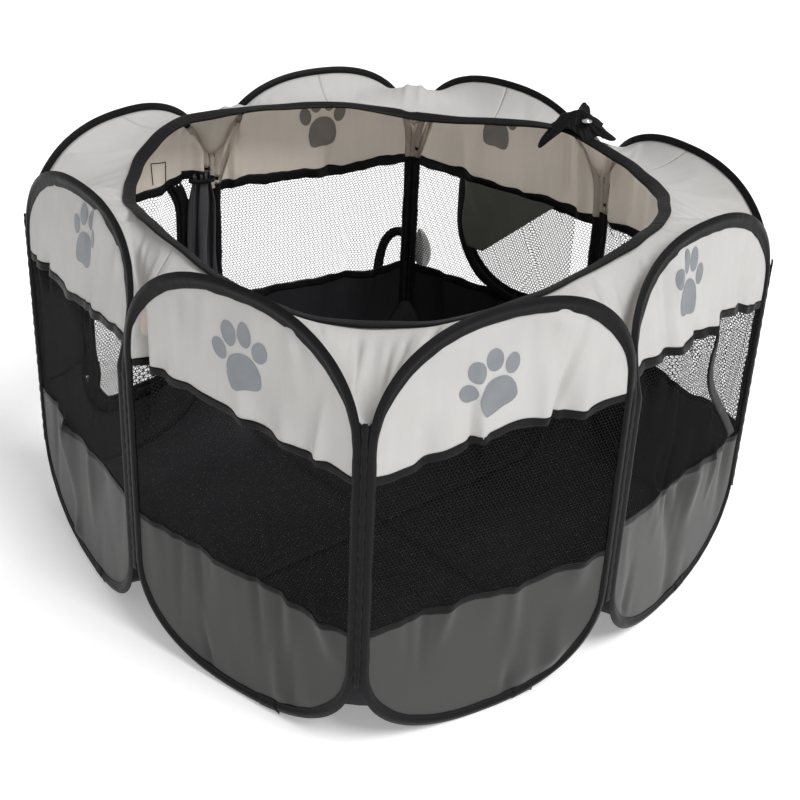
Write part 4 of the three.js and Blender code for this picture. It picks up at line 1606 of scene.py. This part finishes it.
SNAP_PLACE = (0.2690, 0.2490, 0.5800)
SNAP_PROFILE = [
    # [radius, height]
    (0.0006, 0.0046),
    (0.0022, 0.0044),
    (0.0036, 0.0036),
    (0.0046, 0.0022),
    (0.0056, 0.0016),
    (0.0066, 0.0022),
    (0.0074, 0.0018),
    (0.0077, 0.0006),
    (0.0070, -0.0006),
    (0.0006, -0.0008),
]


def snap_cap():
    piece = turned("snap_cap", SNAP_PROFILE, SNAP_PLACE, NICKEL)
    set_down(piece, "snap", "nickel", "snap_button")


# Half outlines as [half width, height]; the other half is the same, mirrored.
SLIDER_OUTLINE = [(-0.0036, 0.0), (-0.0042, 0.006), (-0.0030, 0.011)]
TAB_OUTLINE = [(-0.0030, -0.0005), (-0.0034, -0.014), (-0.0026, -0.024)]


def zip_pull(node, body, wall):
    """A zip slider with its hanging tab."""
    low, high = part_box(node)
    middle = (Vector(low) + Vector(high)) / 2
    flat = np.array([middle.x, middle.y]) - wall.start
    x, y = float(flat @ wall.along), float(flat @ wall.inward)
    for label, outline, thick, out in (
        ("_slider", SLIDER_OUTLINE, 0.0040, 0.0),
        ("_tab", TAB_OUTLINE, 0.0014, -0.0022),
    ):
        other_half = [(-x_out, up) for x_out, up in reversed(outline)]
        rounded = smooth_path(outline + other_half + outline[:1], 44)[:-1]
        outline = resampled(rounded, 40, closed=True)[0]
        centre = outline.mean(0)
        rings = []
        for depth, size in ((-1, 0.80), (-0.8, 0.96), (0.8, 0.96), (1, 0.80)):
            across, up = (centre + (outline - centre) * size).T
            deep = y + out + depth * thick / 2
            rings.append(wall.place(x + across, high.z - 0.011 + up, deep, cloth=False))
        faces = ring_faces(4, 40, closed=False)
        piece = joined_normals(new_piece(node + label, np.stack(rings), faces, None, [NICKEL]))
        set_down(piece, body, "nickel", node)


# ---- assembly ----

for wall in WALLS:
    hoop_sleeve(wall)
    sleeve_overlap(wall)
    upper_band(wall)
    mesh_window(wall)
    lower_band(wall)
    hem_tapes(wall)
    wire = frame["nodes"][wall.name + "_hoop_wire"].data
    wire.materials.clear()
    wire.materials.append(STEEL)

for paw in PAWS:
    paw_print(*paw)

door_leaf(SIDE_DOOR, "side_door", "side_door_leaf", "side_door")
door_leaf(REAR_DOOR, "rear_door", "rear_door_leaf", "rear_door")

for index in REAR_CORNERS:
    corner_facing(WALLS[index - 1], True)
    corner_facing(WALLS[index], False)

for index in range(8):
    roof_corner(index)
    corner_seam(index)

for index in (0, 2, 4, 6):
    floor_corner(index)

gathered_curtain()
rear_curtain()
side_panel()
curved_window_tape()
stitched_box()
carry_handle()
leaf_tag()
corner_clump()
snap_cap()
zip_pull("side_door_zip_pull", "side_door_slider", WALLS[7])
zip_pull("rear_door_zip_pull", "rear_door_slider", WALLS[5])
mesh_linings()


# ---- studio ----

CAMERA_DISTANCE = 2.145
CAMERA_HEIGHT_ANGLE = math.radians(29.2)
CAMERA_TURN = math.radians(2.1)  # to the right of the front corner
CAMERA_ROLL = math.radians(2.7)
CAMERA_TARGET_ACROSS = 0.017
CAMERA_TARGET_HEIGHT = 0.220
CAMERA_LENS = 65.2
FLOOR_REACH = 12.0
KEY_LIGHT_FROM = (0.95, -0.68, 1.50)
KEY_LIGHT_SPREAD = math.radians(30)
KEY_LIGHT_STRENGTH = 2.5
SKY_STRENGTH = 0.46


def make_camera():
    data = bpy.data.cameras.new("camera")
    data.lens = CAMERA_LENS
    data.sensor_width = 36.0
    camera = bpy.data.objects.new("camera", data)
    bpy.context.scene.collection.objects.link(camera)
    level = math.cos(CAMERA_HEIGHT_ANGLE)
    right = Vector((math.cos(CAMERA_TURN), math.sin(CAMERA_TURN), 0.0))
    back = Vector((right.y * level, -right.x * level, math.sin(CAMERA_HEIGHT_ANGLE)))
    target = right * CAMERA_TARGET_ACROSS + Vector((0.0, 0.0, CAMERA_TARGET_HEIGHT))
    camera.location = target + back * CAMERA_DISTANCE
    facing = (-back).to_track_quat("-Z", "Y")
    roll = Matrix.Rotation(CAMERA_ROLL, 4, "Z")
    camera.rotation_mode = "QUATERNION"
    camera.rotation_quaternion = (facing.to_matrix().to_4x4() @ roll).to_quaternion()
    bpy.context.scene.camera = camera


def soft_sun(name, direction, angle, strength):
    """A very large soft light far away in one direction."""
    data = bpy.data.lights.new(name, "SUN")
    data.angle = angle
    data.energy = strength
    light = bpy.data.objects.new(name, data)
    light.location = direction
    light.rotation_mode = "QUATERNION"
    light.rotation_quaternion = Vector(direction).to_track_quat("Z", "Y")
    bpy.context.scene.collection.objects.link(light)


def make_studio():
    corners = [(x * FLOOR_REACH, y * FLOOR_REACH, 0) for x, y in ((-1, -1), (1, -1), (1, 1), (-1, 1))]
    white = plain_floor("studio_white", (0.93, 0.93, 0.93))
    floor = new_piece("studio_floor", corners, [(0, 1, 2, 3)], None, [white])
    world = bpy.data.worlds.new("studio_world")
    world.use_nodes = True
    background = world.node_tree.nodes["Background"]
    background.inputs["Color"].default_value = (1.0, 1.0, 1.0, 1)
    background.inputs["Strength"].default_value = SKY_STRENGTH
    bpy.context.scene.world = world
    soft_sun("key_light", KEY_LIGHT_FROM, KEY_LIGHT_SPREAD, KEY_LIGHT_STRENGTH)
    bpy.context.scene.view_settings.view_transform = "Standard"


make_camera()
make_studio()
